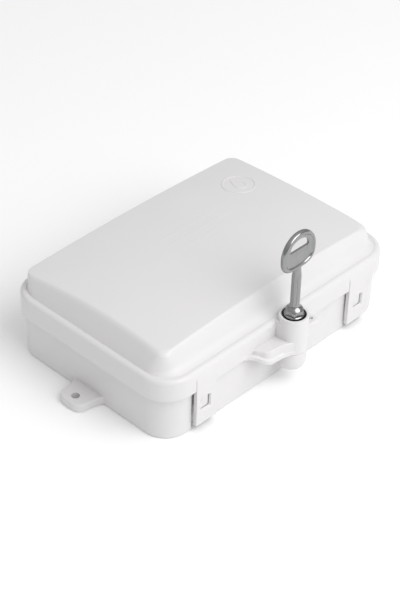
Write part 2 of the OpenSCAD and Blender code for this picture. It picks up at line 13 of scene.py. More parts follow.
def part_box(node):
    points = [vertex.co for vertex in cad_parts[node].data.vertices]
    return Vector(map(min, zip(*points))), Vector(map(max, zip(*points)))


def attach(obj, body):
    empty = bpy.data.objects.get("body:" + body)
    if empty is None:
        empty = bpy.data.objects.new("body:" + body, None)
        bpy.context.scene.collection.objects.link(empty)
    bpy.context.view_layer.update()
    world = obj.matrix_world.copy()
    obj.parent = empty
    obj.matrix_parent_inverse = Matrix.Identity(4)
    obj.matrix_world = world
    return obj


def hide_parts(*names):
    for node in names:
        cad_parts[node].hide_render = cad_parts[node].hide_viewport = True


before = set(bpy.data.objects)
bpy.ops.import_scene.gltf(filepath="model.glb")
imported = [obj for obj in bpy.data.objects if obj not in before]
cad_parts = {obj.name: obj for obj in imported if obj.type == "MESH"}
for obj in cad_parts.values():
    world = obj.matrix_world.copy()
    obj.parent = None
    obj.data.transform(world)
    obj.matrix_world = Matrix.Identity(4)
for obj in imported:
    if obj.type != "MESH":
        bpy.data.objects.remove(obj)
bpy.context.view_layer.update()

MM = 0.001
SLIVER = 0.0005  # edges shorter than this are left over from cutting


# ---------- dimensions, from the frame ----------


def box_mm(node):
    low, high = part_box(node)
    return low / MM, high / MM


def centre_mm(node):
    low, high = box_mm(node)
    return (low + high) / 2


GASKET_IN = 1.85  # from the base's outer face to the gasket
WALL = 3.0
LID_WALL = 2.3
CORNER_R = 17.0
GAP = 0.3  # between pieces that move past each other

gasket_high = box_mm("rim_gasket")[1]
lid_high = box_mm("lid_shell")[1]
HX = gasket_high.x + GASKET_IN  # half the base's length
HY = gasket_high.y + GASKET_IN  # half its width
RIM_Z = 43.6
SX = lid_high.x  # half the skirt's length
SY = HY + SX - HX
SKIRT_R = CORNER_R + SX - HX
SKIRT_Z0 = 31.5
SKIRT_Z1 = 47.0
LEDGE_Z = SKIRT_Z1 - LID_WALL
TOP_Z = lid_high.z

lock = centre_mm("lock_barrel")
LOCK_Y = lock.y
BOSS_R = 9.3
BOSS_BORE_R = 7.8
BOSS_Z = (12.0, 25.0, 51.0)  # bottom, split between base and lid, top
BOSS_FLOOR_Z = 30.0
SPINDLE_R = 3.06

HINGE_Y = centre_mm("hinge_pin_left").y
HINGE_Z = centre_mm("hinge_pin_left").z
HINGE_X = centre_mm("hinge_pin_right").x
KNUCKLE_R = 3.5
KNUCKLE_X = (8.7, 9.0, 16.0)  # from a hinge's middle: lid's end, base's start and end
PIN_R = 1.5

CLIP_X = (61.0, 78.0)
CLIP_Z = (4.7, 45.0)
CLIP_Y = (-SY - 0.5, -SY + 0.9)  # front and back of the strap
CLIP_RIB = 1.4
WINDOW_X = (66.5, 74.0)
WINDOW_Z = (15.0, 24.0)
WINDOW_FLARE = 0.7
POCKET_DEEP = 4.0
POCKET_SHIFT = 0.8

SEAL_XY = (16.0, -76.5)
SEAL_HOLE_R = 1.3


# ---------- mesh tools ----------


def linked(name, data):
    """A new object in the scene."""
    obj = bpy.data.objects.new(name, data)
    bpy.context.scene.collection.objects.link(obj)
    return obj


def mesh_from(name, points, faces):
    """A new object from points in millimetres."""
    mesh = bpy.data.meshes.new(name)
    mesh.from_pydata([Vector(p) * MM for p in points], [], faces)
    tool = bmesh.new()
    tool.from_mesh(mesh)
    bmesh.ops.recalc_face_normals(tool, faces=tool.faces)
    tool.to_mesh(mesh)
    tool.free()
    return linked(name, mesh)


def loft(name, rings, wrap=False):
    """Skin over rings of equally many points, closed at both ends, or wrapped round to the first ring."""
    n = len(rings[0])
    count = len(rings)
    points = [p for ring in rings for p in ring]
    faces = []
    for k in range(count if wrap else count - 1):
        low, high = k * n, (k + 1) % count * n
        for i in range(n):
            j = (i + 1) % n
            faces.append((low + i, low + j, high + j, high + i))
    if not wrap:
        faces.append(tuple(range(n))[::-1])
        faces.append(tuple(range((count - 1) * n, count * n)))
    return mesh_from(name, points, faces)


def lathe(name, profile, centre=(0, 0), steps=64, wrap=False, up=0):
    """A solid turned about an upright axis from (radius, height) points, and raised by up."""
    turn = [2 * math.pi * i / steps for i in range(steps)]
    rings = []
    for r, z in profile:
        rings.append([(centre[0] + r * math.cos(a), centre[1] + r * math.sin(a), z + up) for a in turn])
    return loft(name, rings, wrap)


def flat_at(outline, z):
    """An (x, y) outline laid at height z."""
    return [(x, y, z) for x, y in outline]


def upright_at(outline, y):
    """An (x, z) outline stood up at depth y."""
    return [(x, y, z) for x, z in outline]


def prism(name, outline, z0, z1):
    """An (x, y) outline pulled up from z0 to z1."""
    return loft(name, [flat_at(outline, z) for z in (z0, z1)])


def side_prism(name, outline, x0, x1):
    """A (y, z) outline pulled from x0 to x1."""
    return loft(name, [[(x, y, z) for y, z in outline] for x in (x0, x1)])


def box(name, x0, x1, y0, y1, z0, z1):
    return prism(name, [(x0, y0), (x1, y0), (x1, y1), (x0, y1)], z0, z1)


def block(name, x, y, half_x, half_y, z0, z1):
    """A box about the point (x, y)."""
    return box(name, x - half_x, x + half_x, y - half_y, y + half_y, z0, z1)


def rod(name, x, y, z0, z1, r, steps=48):
    return lathe(name, [(r, z0), (r, z1)], (x, y), steps)


def moved(obj, matrix):
    """obj with its mesh moved by a matrix whose translation is in millimetres."""
    matrix = matrix.copy()
    matrix.translation *= MM
    obj.data.transform(matrix)
    if matrix.determinant() < 0:
        obj.data.flip_normals()
    return obj


def along_x(obj, x, y, z):
    """obj, made about the Z axis, laid along +X from the point (x, y, z)."""
    return moved(obj, Matrix.Translation((x, y, z)) @ Matrix.Rotation(math.pi / 2, 4, "Y"))


def both_ends(make):
    """What make() returns, and its mirror image at the other end."""
    return [make(), moved(make(), Matrix.Scale(-1, 4, (1, 0, 0)))]


def baked(obj):
    """obj with its modifiers applied."""
    bpy.context.view_layer.update()
    shape = obj.evaluated_get(bpy.context.evaluated_depsgraph_get())
    mesh = bpy.data.meshes.new_from_object(shape)
    obj.modifiers.clear()
    old = obj.data
    obj.data = mesh
    bpy.data.meshes.remove(old)
    mesh.name = obj.name
    return obj


def combined(obj, operation, others):
    for other in others:
        step = obj.modifiers.new(operation.lower(), "BOOLEAN")
        step.operation = operation
        step.object = other
        step.solver = "MANIFOLD"
    baked(obj)
    for other in others:
        bpy.data.meshes.remove(other.data)
    return obj


def joined(obj, *others):
    return combined(obj, "UNION", others)


def cut(obj, *others):
    return combined(obj, "DIFFERENCE", others)


def kept(obj, *others):
    return combined(obj, "INTERSECT", others)


def merged(name, parts):
    """One object out of separate shells that needn't be united."""
    tool = bmesh.new()
    for part in parts:
        tool.from_mesh(part.data)
        bpy.data.meshes.remove(part.data)
    mesh = bpy.data.meshes.new(name)
    tool.to_mesh(mesh)
    tool.free()
    return linked(name, mesh)


def eased(obj, width, segments=3, angle=30):
    """obj with every edge sharper than angle rounded off by width millimetres."""
    step = obj.modifiers.new("ease", "BEVEL")
    step.width = width * MM
    step.segments = segments
    step.limit_method = "ANGLE"
    step.angle_limit = math.radians(angle)
    step.use_clamp_overlap = True
    return baked(obj)


def arc(cx, cy, r, start, end, steps):
    """Points of an arc, angles in degrees."""
    turn = [math.radians(start + (end - start) * i / steps) for i in range(steps + 1)]
    return [(cx + r * math.cos(a), cy + r * math.sin(a)) for a in turn]


def rounded_rect(x0, x1, y0, y1, r, corner=8, long=1, short=1, inset=0):
    """Anticlockwise outline, drawn in by inset, with long and short steps along its straight sides."""
    x0, x1, y0, y1 = x0 + inset, x1 - inset, y0 + inset, y1 - inset
    corners = [(x1 - r, y0 + r, -90), (x1 - r, y1 - r, 0), (x0 + r, y1 - r, 90), (x0 + r, y0 + r, 180)]
    outline = []
    for k, (cx, cy, start) in enumerate(corners):
        turn = arc(cx, cy, r, start, start + 90, corner)
        outline += turn
        nx, ny, nstart = corners[(k + 1) % 4]
        after = arc(nx, ny, r, nstart, nstart, 1)[0]
        steps = short if k % 2 == 0 else long
        for i in range(1, steps):
            t = i / steps
            outline.append((turn[-1][0] * (1 - t) + after[0] * t, turn[-1][1] * (1 - t) + after[1] * t))
    return outline


def smooth_curve(points, steps=6):
    """Catmull-Rom curve through open (x, y) points."""
    path = [points[0], *points, points[-1]]
    curve = []
    for a, b, c, d in zip(path, path[1:], path[2:], path[3:]):
        for i in range(steps):
            t = i / steps
            curve.append(tuple(
                0.5 * (2 * b[k] + (c[k] - a[k]) * t + (2 * a[k] - 5 * b[k] + 4 * c[k] - d[k]) * t**2
                       + (3 * b[k] - a[k] - 3 * c[k] + d[k]) * t**3)
                for k in (0, 1)))
    curve.append(tuple(points[-1]))
    return curve


def smooth_step(low, high, value):
    t = min(max((value - low) / (high - low), 0.0), 1.0)
    return t * t * (3 - 2 * t)


def without_slivers(mesh):
    """Collapse the edges and faces of no size that cutting leaves."""
    tool = bmesh.new()
    tool.from_mesh(mesh)
    bmesh.ops.dissolve_degenerate(tool, dist=SLIVER * MM, edges=tool.edges)
    bmesh.ops.triangulate(tool, faces=[face for face in tool.faces if len(face.verts) > 4])
    bmesh.ops.dissolve_degenerate(tool, dist=SLIVER * MM, edges=tool.edges)
    tool.to_mesh(mesh)
    tool.free()


def finished(obj, body, slot, material, *replaced, name=None, angle=32, weighted=True):
    """obj shaded smooth below angle, named, given its material and tied to its body, with the CAD nodes that
    it replaces hidden; slot is not used.
    """
    obj.name = name or obj.name
    mesh = obj.data
    without_slivers(mesh)
    mesh.polygons.foreach_set("use_smooth", [True] * len(mesh.polygons))
    mesh.set_sharp_from_angle(angle=math.radians(angle))
    if weighted:
        step = obj.modifiers.new("normals", "WEIGHTED_NORMAL")
        step.keep_sharp = True
    mesh.materials.clear()
    mesh.materials.append(material)
    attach(obj, body)
    if replaced:
        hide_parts(*replaced)
    return obj


# ---------- materials ----------


def new_material(name, color, rough, metallic=0.0, **sockets):
    """A Principled material, its shader and its node tools."""
    material = bpy.data.materials.new(name)
    material.use_nodes = True
    tree = material.node_tree
    shader = tree.nodes["Principled BSDF"]
    shader.inputs["Base Color"].default_value = (*color, 1)
    shader.inputs["Roughness"].default_value = rough
    shader.inputs["Metallic"].default_value = metallic
    for key, value in sockets.items():
        shader.inputs[key.replace("_", " ")].default_value = value
    return material, tree, shader


def coordinates(tree, stretch=(1, 1, 1)):
    """Object coordinates in metres, stretched along the axes."""
    place = tree.nodes.new("ShaderNodeTexCoord")
    scale = tree.nodes.new("ShaderNodeMapping")
    scale.inputs["Scale"].default_value = stretch
    tree.links.new(place.outputs["Object"], scale.inputs["Vector"])
    return scale.outputs["Vector"]


def noise(tree, vector, scale, detail=4, rough=0.55):
    node = tree.nodes.new("ShaderNodeTexNoise")
    node.inputs["Scale"].default_value = scale
    node.inputs["Detail"].default_value = detail
    node.inputs["Roughness"].default_value = rough
    tree.links.new(vector, node.inputs["Vector"])
    return node.outputs["Fac"]


def ramp(tree, factor, stops):
    """A colour ramp with stops of (place, colour)."""
    node = tree.nodes.new("ShaderNodeValToRGB")
    node.color_ramp.elements[0].position = stops[0][0]
    node.color_ramp.elements[-1].position = stops[-1][0]
    for place, _ in stops[1:-1]:
        node.color_ramp.elements.new(place)
    for element, (_, color) in zip(node.color_ramp.elements, stops):
        element.color = (*color, 1)
    tree.links.new(factor, node.inputs["Fac"])
    return node.outputs["Color"]


def spread(tree, factor, low, high):
    """factor remapped to run from low to high while it goes from 0.3 to 0.7."""
    node = tree.nodes.new("ShaderNodeMapRange")
    for name, value in (("From Min", 0.3), ("From Max", 0.7), ("To Min", low), ("To Max", high)):
        node.inputs[name].default_value = value
    tree.links.new(factor, node.inputs["Value"])
    return node.outputs["Result"]


def bump(tree, shader, height, distance, strength=1.0):
    """Relief of distance millimetres on the shader."""
    node = tree.nodes.new("ShaderNodeBump")
    node.inputs["Strength"].default_value = strength
    node.inputs["Distance"].default_value = distance * MM
    tree.links.new(height, node.inputs["Height"])
    tree.links.new(node.outputs["Normal"], shader.inputs["Normal"])


def shaded(color, factor):
    return tuple(c * factor for c in color)


def moulded(name, color, rough=0.38, grain=0.03, tone=0.03, grain_scale=2600, **sockets):
    """Injection-moulded plastic: faint cloudiness, fine spark-eroded grain and uneven gloss."""
    material, tree, shader = new_material(name, color, rough, **sockets)
    vector = coordinates(tree)
    cloud = noise(tree, vector, 28, 5)
    tree.links.new(ramp(tree, cloud, [(0.3, shaded(color, 1 - tone)), (0.7, shaded(color, 1 + tone / 3))]),
                   shader.inputs["Base Color"])
    gloss = noise(tree, vector, 140, 6, 0.7)
    tree.links.new(spread(tree, gloss, rough - 0.05, rough + 0.06), shader.inputs["Roughness"])
    bump(tree, shader, noise(tree, vector, grain_scale, 3), grain, 0.5)
    return material


def cast_metal(name, color, rough, streak=(1, 1, 1), depth=0.004, dull=0.08, tone=0.12, scale=420):
    """Plated or drawn metal with soft streaks and a little dullness."""
    material, tree, shader = new_material(name, color, rough, 1.0)
    streaks = noise(tree, coordinates(tree, streak), scale, 5)
    patch = noise(tree, coordinates(tree), 90, 3, 0.5)
    tree.links.new(ramp(tree, streaks, [(0.35, shaded(color, 1 - tone)), (0.65, shaded(color, 1 + tone))]),
                   shader.inputs["Base Color"])
    tree.links.new(spread(tree, patch, rough, rough + dull), shader.inputs["Roughness"])
    bump(tree, shader, streaks, depth, 0.5)
    return material


white = moulded("white_abs", (0.705, 0.695, 0.695), rough=0.36, grain=0.012, tone=0.014)
grey_nylon = moulded("grey_nylon", (0.36, 0.37, 0.39), rough=0.45, grain=0.03)
black_rubber = moulded("black_rubber", (0.02, 0.02, 0.022), rough=0.62, grain=0.05, tone=0.12,
                       grain_scale=1500)
steel = cast_metal("zinc_steel", (0.60, 0.60, 0.62), 0.24, (1, 1, 0.15))
plated = cast_metal("nickel_plate", (0.31, 0.315, 0.31), 0.13, (1, 1, 0.12), 0.004, 0.08, 0.07, 800)
dark_metal = cast_metal("dark_metal", (0.045, 0.045, 0.05), 0.34)


# ---------- lid ----------

LID_RING = dict(corner=10, long=30, short=20)
GROOVE_Z = 46.72  # foot of the dome's wall
RIDGE_R = 6.0
CROWN_R = (1663, 589)  # along X and Y
CROWN_Y = -12
MARK_XY = (67.0, 33.0)


def crown(x, y):
    """Height of the lid's top: a wide arc along X over a tighter one along Y."""
    return TOP_Z - x * x / (2 * CROWN_R[0]) - (y - CROWN_Y) ** 2 / (2 * CROWN_R[1])


def wall_inset(rise):
    """How far inside the skirt's face the dome's wall is, rise above the groove: ends, back and front."""
    foot = math.exp(-rise / 0.8)
    ends = 4.6 + 0.36 * rise + 0.008 * rise * rise - 0.5 * foot
    back = 4.3 + 0.10 * rise + 0.002 * rise * rise - 0.3 * foot
    front = 3.7 + 5.2 * (1 - math.exp(-rise / 2.4)) + 0.29 * rise
    return ends, back, front


def wall_outline(rise, skin):
    ends, back, front = (inset + skin for inset in wall_inset(rise))
    r = max(CORNER_R - 0.92 * rise, RIDGE_R) - skin * 0.6
    return rounded_rect(-SX + ends, SX - ends, -SY + front, SY - back, r, **LID_RING)


def under_crown(outline, z, skin):
    """The outline lifted to z, but held under the crown by a soft blend that is wider at the front."""
    ring = []
    for x, y in outline:
        top = crown(x, y) - skin
        width = 3.0 + 4.5 * smooth_step(-42, -58, y)
        blend = max(width - abs(z - top), 0.0) / width
        ring.append((x, y, min(z, top) - blend * blend * width / 4))
    return ring


def skirt_ring(inset, z):
    return flat_at(rounded_rect(-SX, SX, -SY, SY, SKIRT_R - inset, **LID_RING, inset=inset), z)


def round_over(z, r, steps, skin=0.0):
    """Rings that turn the skirt's face over into its top."""
    turn = [math.pi / 2 * i / steps for i in range(steps + 1)]
    return [skirt_ring(skin + r - r * math.cos(a), z - r + r * math.sin(a)) for a in turn]


def dome_rings(skin, first):
    """Rings from the foot of the dome's wall to the middle of the crown."""
    rises = [first + (26 - first) * (i / 40) ** 1.25 for i in range(41)]
    rings = [under_crown(wall_outline(rise, skin), GROOVE_Z + rise, skin) for rise in rises]
    rim = wall_outline(rises[-1], skin)
    mid_y = (min(y for _, y in rim) + max(y for _, y in rim)) / 2
    for i in range(1, 16):
        size = 1 - i / 15.3
        inner = [(x * size, mid_y + (y - mid_y) * size) for x, y in rim]
        rings.append([(x, y, crown(x, y) - skin) for x, y in inner])
    return rings


def lid_body():
    rings = [skirt_ring(0.5, SKIRT_Z0), skirt_ring(0.15, SKIRT_Z0 + 0.15), skirt_ring(0, SKIRT_Z0 + 0.5)]
    rings += [skirt_ring(0, z) for z in (35, 39)]
    rings += round_over(SKIRT_Z1, 3.0, 8)
    rings += [skirt_ring(3.55, SKIRT_Z1), skirt_ring(3.75, SKIRT_Z1 - 0.06), skirt_ring(3.9, SKIRT_Z1 - 0.24)]
    rings += dome_rings(0.0, 0.05)
    inner = [skirt_ring(LID_WALL - 0.5, SKIRT_Z0), skirt_ring(LID_WALL - 0.15, SKIRT_Z0 + 0.15)]
    inner += [skirt_ring(LID_WALL, z) for z in (SKIRT_Z0 + 0.5, 36, 40)]
    inner += round_over(LEDGE_Z, 1.0, 4, LID_WALL)
    inner += dome_rings(LID_WALL, 0.6)
    return loft("lid_shell_form", inner[::-1] + rings)


def boss_neck(z0, z1, y_back):
    """Block that ties a lock boss to the wall behind it."""
    return eased(box("neck", -BOSS_R, BOSS_R, LOCK_Y, y_back, z0, z1), 0.5)


def upper_boss():
    z0, z1 = BOSS_Z[1] + GAP, BOSS_Z[2]
    r = BOSS_R
    turned = lathe("boss", [(r - 0.5, z0), (r - 0.12, z0 + 0.15), (r, z0 + 0.5), (r, z1 - 0.6),
                            (r - 0.15, z1 - 0.2), (r - 0.5, z1), (1.0, z1)], (0, LOCK_Y), 96)
    return joined(turned, boss_neck(z0, SKIRT_Z1, -SY + 1.5))


WING_EDGE = [(-30, -69.2), (-28.6, -71.6), (-26.8, -74.3), (-25.2, -76.6), (-22.6, -78.2), (-19, -78.7),
             (-14.5, -79.3), (-10, -80.9), (-6, -82.9), (-2.6, -84.6)]
FLANGE_EDGE = [(-36, -69.2), (-33, -70.6), (-30, -73.4), (-27.8, -76.6), (-25.2, -78.8), (-21.5, -79.8),
               (-15, -80.4), (-10, -81.6), (-6, -83.2), (-2.6, -84.7)]


def wing_slab(name, edge, z0, z1, ease):
    outline = smooth_curve(edge) + [(0, -84.9), (0, -68.2), (edge[0][0], -68.2)]
    return eased(prism(name, outline, z0, z1), ease, 3, 40)


def wing():
    """The ledge beside the lock: a slab on a thin flange that climbs to the skirt's edge."""
    z0 = BOSS_Z[1] + 1
    flange = wing_slab("flange", FLANGE_EDGE, z0, z0 + 3, 0.5)
    for point in flange.data.vertices:
        point.co.z += 4.2 * MM * smooth_step(22, 34, -point.co.x / MM)
    return joined(wing_slab("wing", WING_EDGE, z0 + 2, z0 + 9.5, 0.7), flange)


def seal_tab(z0, z1):
    """Ear with a hole for a seal, on a web that tapers down beside the boss."""
    x, y = SEAL_XY
    rings = []
    for z, reach, r in ((z0 - 8.3, 8.2, 2.6), (z0, 3.0, 3.6), (z0 + 0.6, 0.2, 3.95), (z1 - 0.5, 0, 4),
                        (z1, 0.5, 3.5)):
        rings.append(flat_at([(6, y + 4), (6, y - r)] + arc(x - reach, y, r, -90, 90, 16), z))
    return cut(loft("tab", rings), rod("hole", x, y, z0 - 9, z1 + 1, SEAL_HOLE_R, 32))


def window_cutter():
    """The strap's window, with its edges sloping outward so that the catch slides in."""
    front, back = CLIP_Y
    steps = ((front - 1, WINDOW_FLARE), (front, WINDOW_FLARE), (back - 0.3, 0), (back + 3, 0))
    return loft("window", [upright_at(rounded_rect(*WINDOW_X, *WINDOW_Z, 0.6 + grow, 3, inset=-grow), y)
                           for y, grow in steps])


def clip_strap():
    """Snap strap that leaves the skirt's face flush at the top, with a rib down each edge."""
    front, back = CLIP_Y
    side_view = [(front, CLIP_Z[0]), (back, CLIP_Z[0]), (back, CLIP_Z[1]), (front + 1.1, CLIP_Z[1]),
                 (front + 0.62, CLIP_Z[1] - 1.5), (front + 0.1, CLIP_Z[1] - 5), (front, CLIP_Z[1] - 8)]
    strap = eased(side_prism("strap", side_view, *CLIP_X), 0.35)
    ribs = [eased(box("rib", x, x + CLIP_RIB, front + 0.4, back + CLIP_RIB, CLIP_Z[0], SKIRT_Z0 + 3), 0.35)
            for x in (CLIP_X[0], CLIP_X[1] - CLIP_RIB)]
    return cut(joined(strap, *ribs), window_cutter())


def knuckle_barrel(x0, x1):
    width = x1 - x0
    return along_x(lathe("barrel", [(KNUCKLE_R - 0.3, 0), (KNUCKLE_R, 0.3), (KNUCKLE_R, width - 0.3),
                                    (KNUCKLE_R - 0.3, width)]), x0, HINGE_Y, HINGE_Z)


def pin_holes(clearance):
    return [along_x(rod("pin_hole", 0, 0, 0, 40, PIN_R + clearance), side * HINGE_X - 20, HINGE_Y, HINGE_Z)
            for side in (-1, 1)]


def lid_knuckle(side):
    x0, x1 = side * HINGE_X - KNUCKLE_X[0], side * HINGE_X + KNUCKLE_X[0]
    z0 = SKIRT_Z0
    side_view = [(SY - 1.5, z0), (HINGE_Y, z0), (HINGE_Y + 3, HINGE_Z + 2), (SY + 0.6, z0 + 9),
                 (SY - 1.5, z0 + 9)]
    return joined(knuckle_barrel(x0, x1), eased(side_prism("web", side_view, x0, x1), 0.4))


def on_crown(outline, lift, sink):
    """Low relief that follows the crown over an (x, y) outline, with softened upper edges."""
    cx = sum(x for x, _ in outline) / len(outline)
    cy = sum(y for _, y in outline) / len(outline)
    rings = []
    for inset, rise in ((0, -sink), (0, lift * 0.3), (0.25, lift)):
        ring = []
        for x, y in outline:
            away = max(math.hypot(x - cx, y - cy), 0.001)
            px, py = x - (x - cx) / away * inset, y - (y - cy) / away * inset
            ring.append((px, py, crown(px, py) + rise))
        rings.append(ring)
    return loft("relief", rings)


def stroke(x0, y, long, width):
    """Outline of a bar with round ends, long between their centres."""
    half = width / 2
    between = [x0 + long * i / 6 for i in range(1, 6)]
    near = arc(x0, y, half, 90, 270, 6) + [(x, y - half) for x in between]
    return near + arc(x0 + long, y, half, -90, 90, 6) + [(x, y + half) for x in between[::-1]]


def crown_line(path, width, lift):
    """Closed line in low relief on the crown."""
    half = width / 2
    left = [(-half, -0.4), (-half, lift * 0.3), (0.25 - half, lift)]
    profile = left + [(-out, rise) for out, rise in left[::-1]]
    sections = []
    for i, (x, y) in enumerate(path):
        (ax, ay), (bx, by) = path[i - 1], path[(i + 1) % len(path)]
        long = math.hypot(bx - ax, by - ay)
        nx, ny = (by - ay) / long, (ax - bx) / long
        places = [(x + out * nx, y + out * ny, rise) for out, rise in profile]
        sections.append([(px, py, crown(px, py) + rise) for px, py, rise in places])
    return loft("line", sections, wrap=True)


def lid_relief():
    """A plain water drop in a ring, and plain bars across the middle."""
    x, y = MARK_XY
    drop = arc(x, y + 5.8, 0.8, 28, 152, 4) + arc(x, y - 1.6, 3.9, 152, 388, 24)
    parts = [crown_line(arc(x, y, 11, 0, 355, 71), 1.3, 0.3), crown_line(drop, 1.1, 0.3)]
    for row, starts in enumerate(((-14, 2, 18), (-22, -6, 10, 26), (-10, 6))):
        y = 22 - 8 * row
        for x0 in starts:
            parts.append(on_crown(stroke(x0, y, 11, 1.6), 0.06, 0.3))
    return merged("lid_relief", parts)


def build_lid():
    shell = lid_body()
    knuckles = [lid_knuckle(side) for side in (-1, 1)]
    joined(shell, upper_boss(), wing(), seal_tab(35, 39), *both_ends(clip_strap), *knuckles)
    cut(shell, rod("bore", 0, LOCK_Y, BOSS_FLOOR_Z, BOSS_Z[2] + 1, BOSS_BORE_R, 96),
        rod("spindle_hole", 0, LOCK_Y, BOSS_Z[1] - 1, BOSS_FLOOR_Z + 1, SPINDLE_R), *pin_holes(0.06))
    finished(shell, "lid", "case_plastic", white, "lid_shell", name="lid_cover")
    finished(lid_relief(), "lid", "case_plastic", white)


build_lid()


# ---------- base ----------

LUG_END_X = 117.6
LUG_TIP_R = 7
LUG_HOLE_X = 111
LUG_HOLE_R = 2.75


def base_ring(inset, z):
    return flat_at(rounded_rect(-HX, HX, -HY, HY, CORNER_R - inset, 12, inset=inset), z)


def base_body():
    profile = [(1.2, 0), (0.6, 0.16), (0.16, 0.6), (0, 1.2), (0, RIM_Z - 0.4), (0.4, RIM_Z), (1.6, RIM_Z),
               (1.8, RIM_Z - 0.2), (1.8, RIM_Z - 2), (4.2, RIM_Z - 2), (4.2, RIM_Z - 0.2), (4.4, RIM_Z),
               (5.3, RIM_Z), (5.5, RIM_Z - 0.2), (5.5, 39), (3, 39), (3, 5), (3.5, 3.7), (4.4, 3.1), (5.5, 3)]
    return loft("base_shell_form", [base_ring(inset, z) for inset, z in profile])


def lug():
    tip = LUG_END_X - LUG_TIP_R
    near = [(HX - 2, -13.2), (HX, -13.2)] + smooth_curve([(HX + 0.5, -12.9), (104, -11.3), (tip, -10.2)], 4)
    outline = near + arc(tip, -3.2, LUG_TIP_R, -90, 0, 8)[1:] + arc(tip, 3.2, LUG_TIP_R, 0, 90, 8)
    outline += [(x, -y) for x, y in near[:-1][::-1]]
    ear = eased(prism("lug", outline, 0, 6), 0.8, 3, 50)
    return cut(ear, rod("hole", LUG_HOLE_X, 0, -1, 7, LUG_HOLE_R, 40))


def lower_boss():
    z0, z1 = BOSS_Z[0], BOSS_Z[1]
    r = BOSS_R
    turned = lathe("boss", [(r - 3.4, z0), (r - 2.2, z0 + 0.35), (r - 1.3, z0 + 1.3), (r - 0.5, z0 + 3.2),
                            (r, z0 + 6), (r, z1 - 0.4), (r - 0.4, z1)], (0, LOCK_Y), 96)
    return joined(turned, boss_neck(z0 + 4, z1, -HY + 1))


def cam_space():
    """The bore for the lock's cam and the slot that it passes through."""
    bore = rod("bore", 0, LOCK_Y, 14, 21.5, 7)
    slot = kept(rod("slot", 0, LOCK_Y, 21, 26, 7.3), block("sides", 0, LOCK_Y, 10, 4.2, 20, 27))
    return [bore, slot]


def clip_pocket():
    x0, x1 = CLIP_X[0] + POCKET_SHIFT, CLIP_X[1] + POCKET_SHIFT
    return box("pocket", x0, x1, -HY - 1, -HY + POCKET_DEEP, -1, SKIRT_Z0 + 1.5)


def clip_pad():
    return box("pad", CLIP_X[0] - 2, CLIP_X[1] + 4.5, -HY + 2, -HY + 7, 1, SKIRT_Z0 + 4)


def clip_barb():
    """Catch that fills most of a strap's window; its face follows the strap's swing."""
    nose = CLIP_Y[1] + GAP - 0.1
    x0, x1 = WINDOW_X[0] + 0.4, WINDOW_X[1] - 0.4
    z0, z1 = WINDOW_Z[0] + 0.15, WINDOW_Z[1] - 0.3
    side_view = [(-HY + 5, z0), (nose, z0), (nose - 0.5, z1 - 0.9), (nose - 0.2, z1), (-HY + 5, z1 + 1.3)]
    barb = side_prism("barb", side_view, x0, x1)
    for point in barb.data.vertices:
        middle = (x0 + x1) / 2 * MM
        narrowing = 1 - 0.16 * smooth_step(z0, z1 + 1, point.co.z / MM)
        point.co.x = middle + (point.co.x - middle) * narrowing
    return eased(barb, 0.2, 2)


def base_knuckle(x0, x1):
    web = box("web", x0, x1, HY - 1, HINGE_Y, HINGE_Z - KNUCKLE_R, HINGE_Z + 1)
    return joined(knuckle_barrel(x0, x1), web)


def post_grid(xs, ys):
    return [(x, y) for x in xs for y in ys]


BOARD_HOLES = post_grid((-81, 87), (-42, -2))
PANEL_POSTS = post_grid((-86, 22), (-52.5, 52.5))
GLAND_Y = centre_mm("gland_body_2").y
GLAND_Z = centre_mm("gland_body_2").z
GLAND_HOLE_R = 8.1


def build_base():
    shell = base_body()
    extras = [*both_ends(lug), lower_boss(), *both_ends(clip_pad)]
    near, far = KNUCKLE_X[1:]
    for x in (-HINGE_X, HINGE_X):
        extras += [base_knuckle(x - far, x - near), base_knuckle(x + near, x + far)]
    extras += [rod("post", x, y, 2, 9, 3.4) for x, y in BOARD_HOLES]
    extras += [rod("post", x, y, 2, 36, 4) for x, y in PANEL_POSTS]
    joined(shell, *extras)
    holes = [*both_ends(clip_pocket), *cam_space()]
    holes += [rod("hole", x, y, 4, 10, 1.3, 24) for x, y in BOARD_HOLES]
    holes += [rod("hole", x, y, 24, 38, 1.3, 24) for x, y in PANEL_POSTS]
    holes += [along_x(rod("gland_hole", 0, 0, 0, 5, GLAND_HOLE_R), HX - 4, side * GLAND_Y, GLAND_Z)
              for side in (-1, 1)]
    cut(shell, *holes, *pin_holes(0.02))
    joined(shell, *both_ends(clip_barb))
    finished(shell, "base", "case_plastic", white, "base_case", name="base_housing")


build_base()


# ---------- key ----------

KEY_TOP = box_mm("key")[1].z
BOW_T = 3.6
BOW_W = 29.0
BOW_H = 26.5
BOW_Z0 = KEY_TOP - BOW_H
BOW_RIM = 2.5
WEB_T = 1.5
SHANK_R = 3.0
COLLAR_R = 6.2  # over the corners of its hexagon
FLANGE_R = 6.4
NUT_TURN = math.radians(43)
NECK_Z = BOW_Z0 - 6.5  # where the shank starts to flatten
SEAM_TURN = math.radians(-38)
SLOT_HALF = 8.3
SLOT_Z = BOW_Z0 + 14.3
SLOT_H = 7.0


def bow_outline(inset):
    """The bow seen from the front, as (x, z): an oval with its lower end cut off and the corners rounded."""
    half = BOW_W / 2 - inset
    widest = 0.44 * BOW_H
    up, down = BOW_H - widest - inset, widest - inset
    points = [(half * math.cos(a), BOW_Z0 + widest + up * math.sin(a)) for a in
              [math.pi * i / 40 for i in range(41)]]
    left = [(-half * math.cos(a) ** 0.6, BOW_Z0 + widest - down * math.sin(a) ** 0.7) for a in
            [math.pi / 2 * i / 16 for i in range(1, 16)]]
    return points + left + [(-x, z) for x, z in left[::-1]]


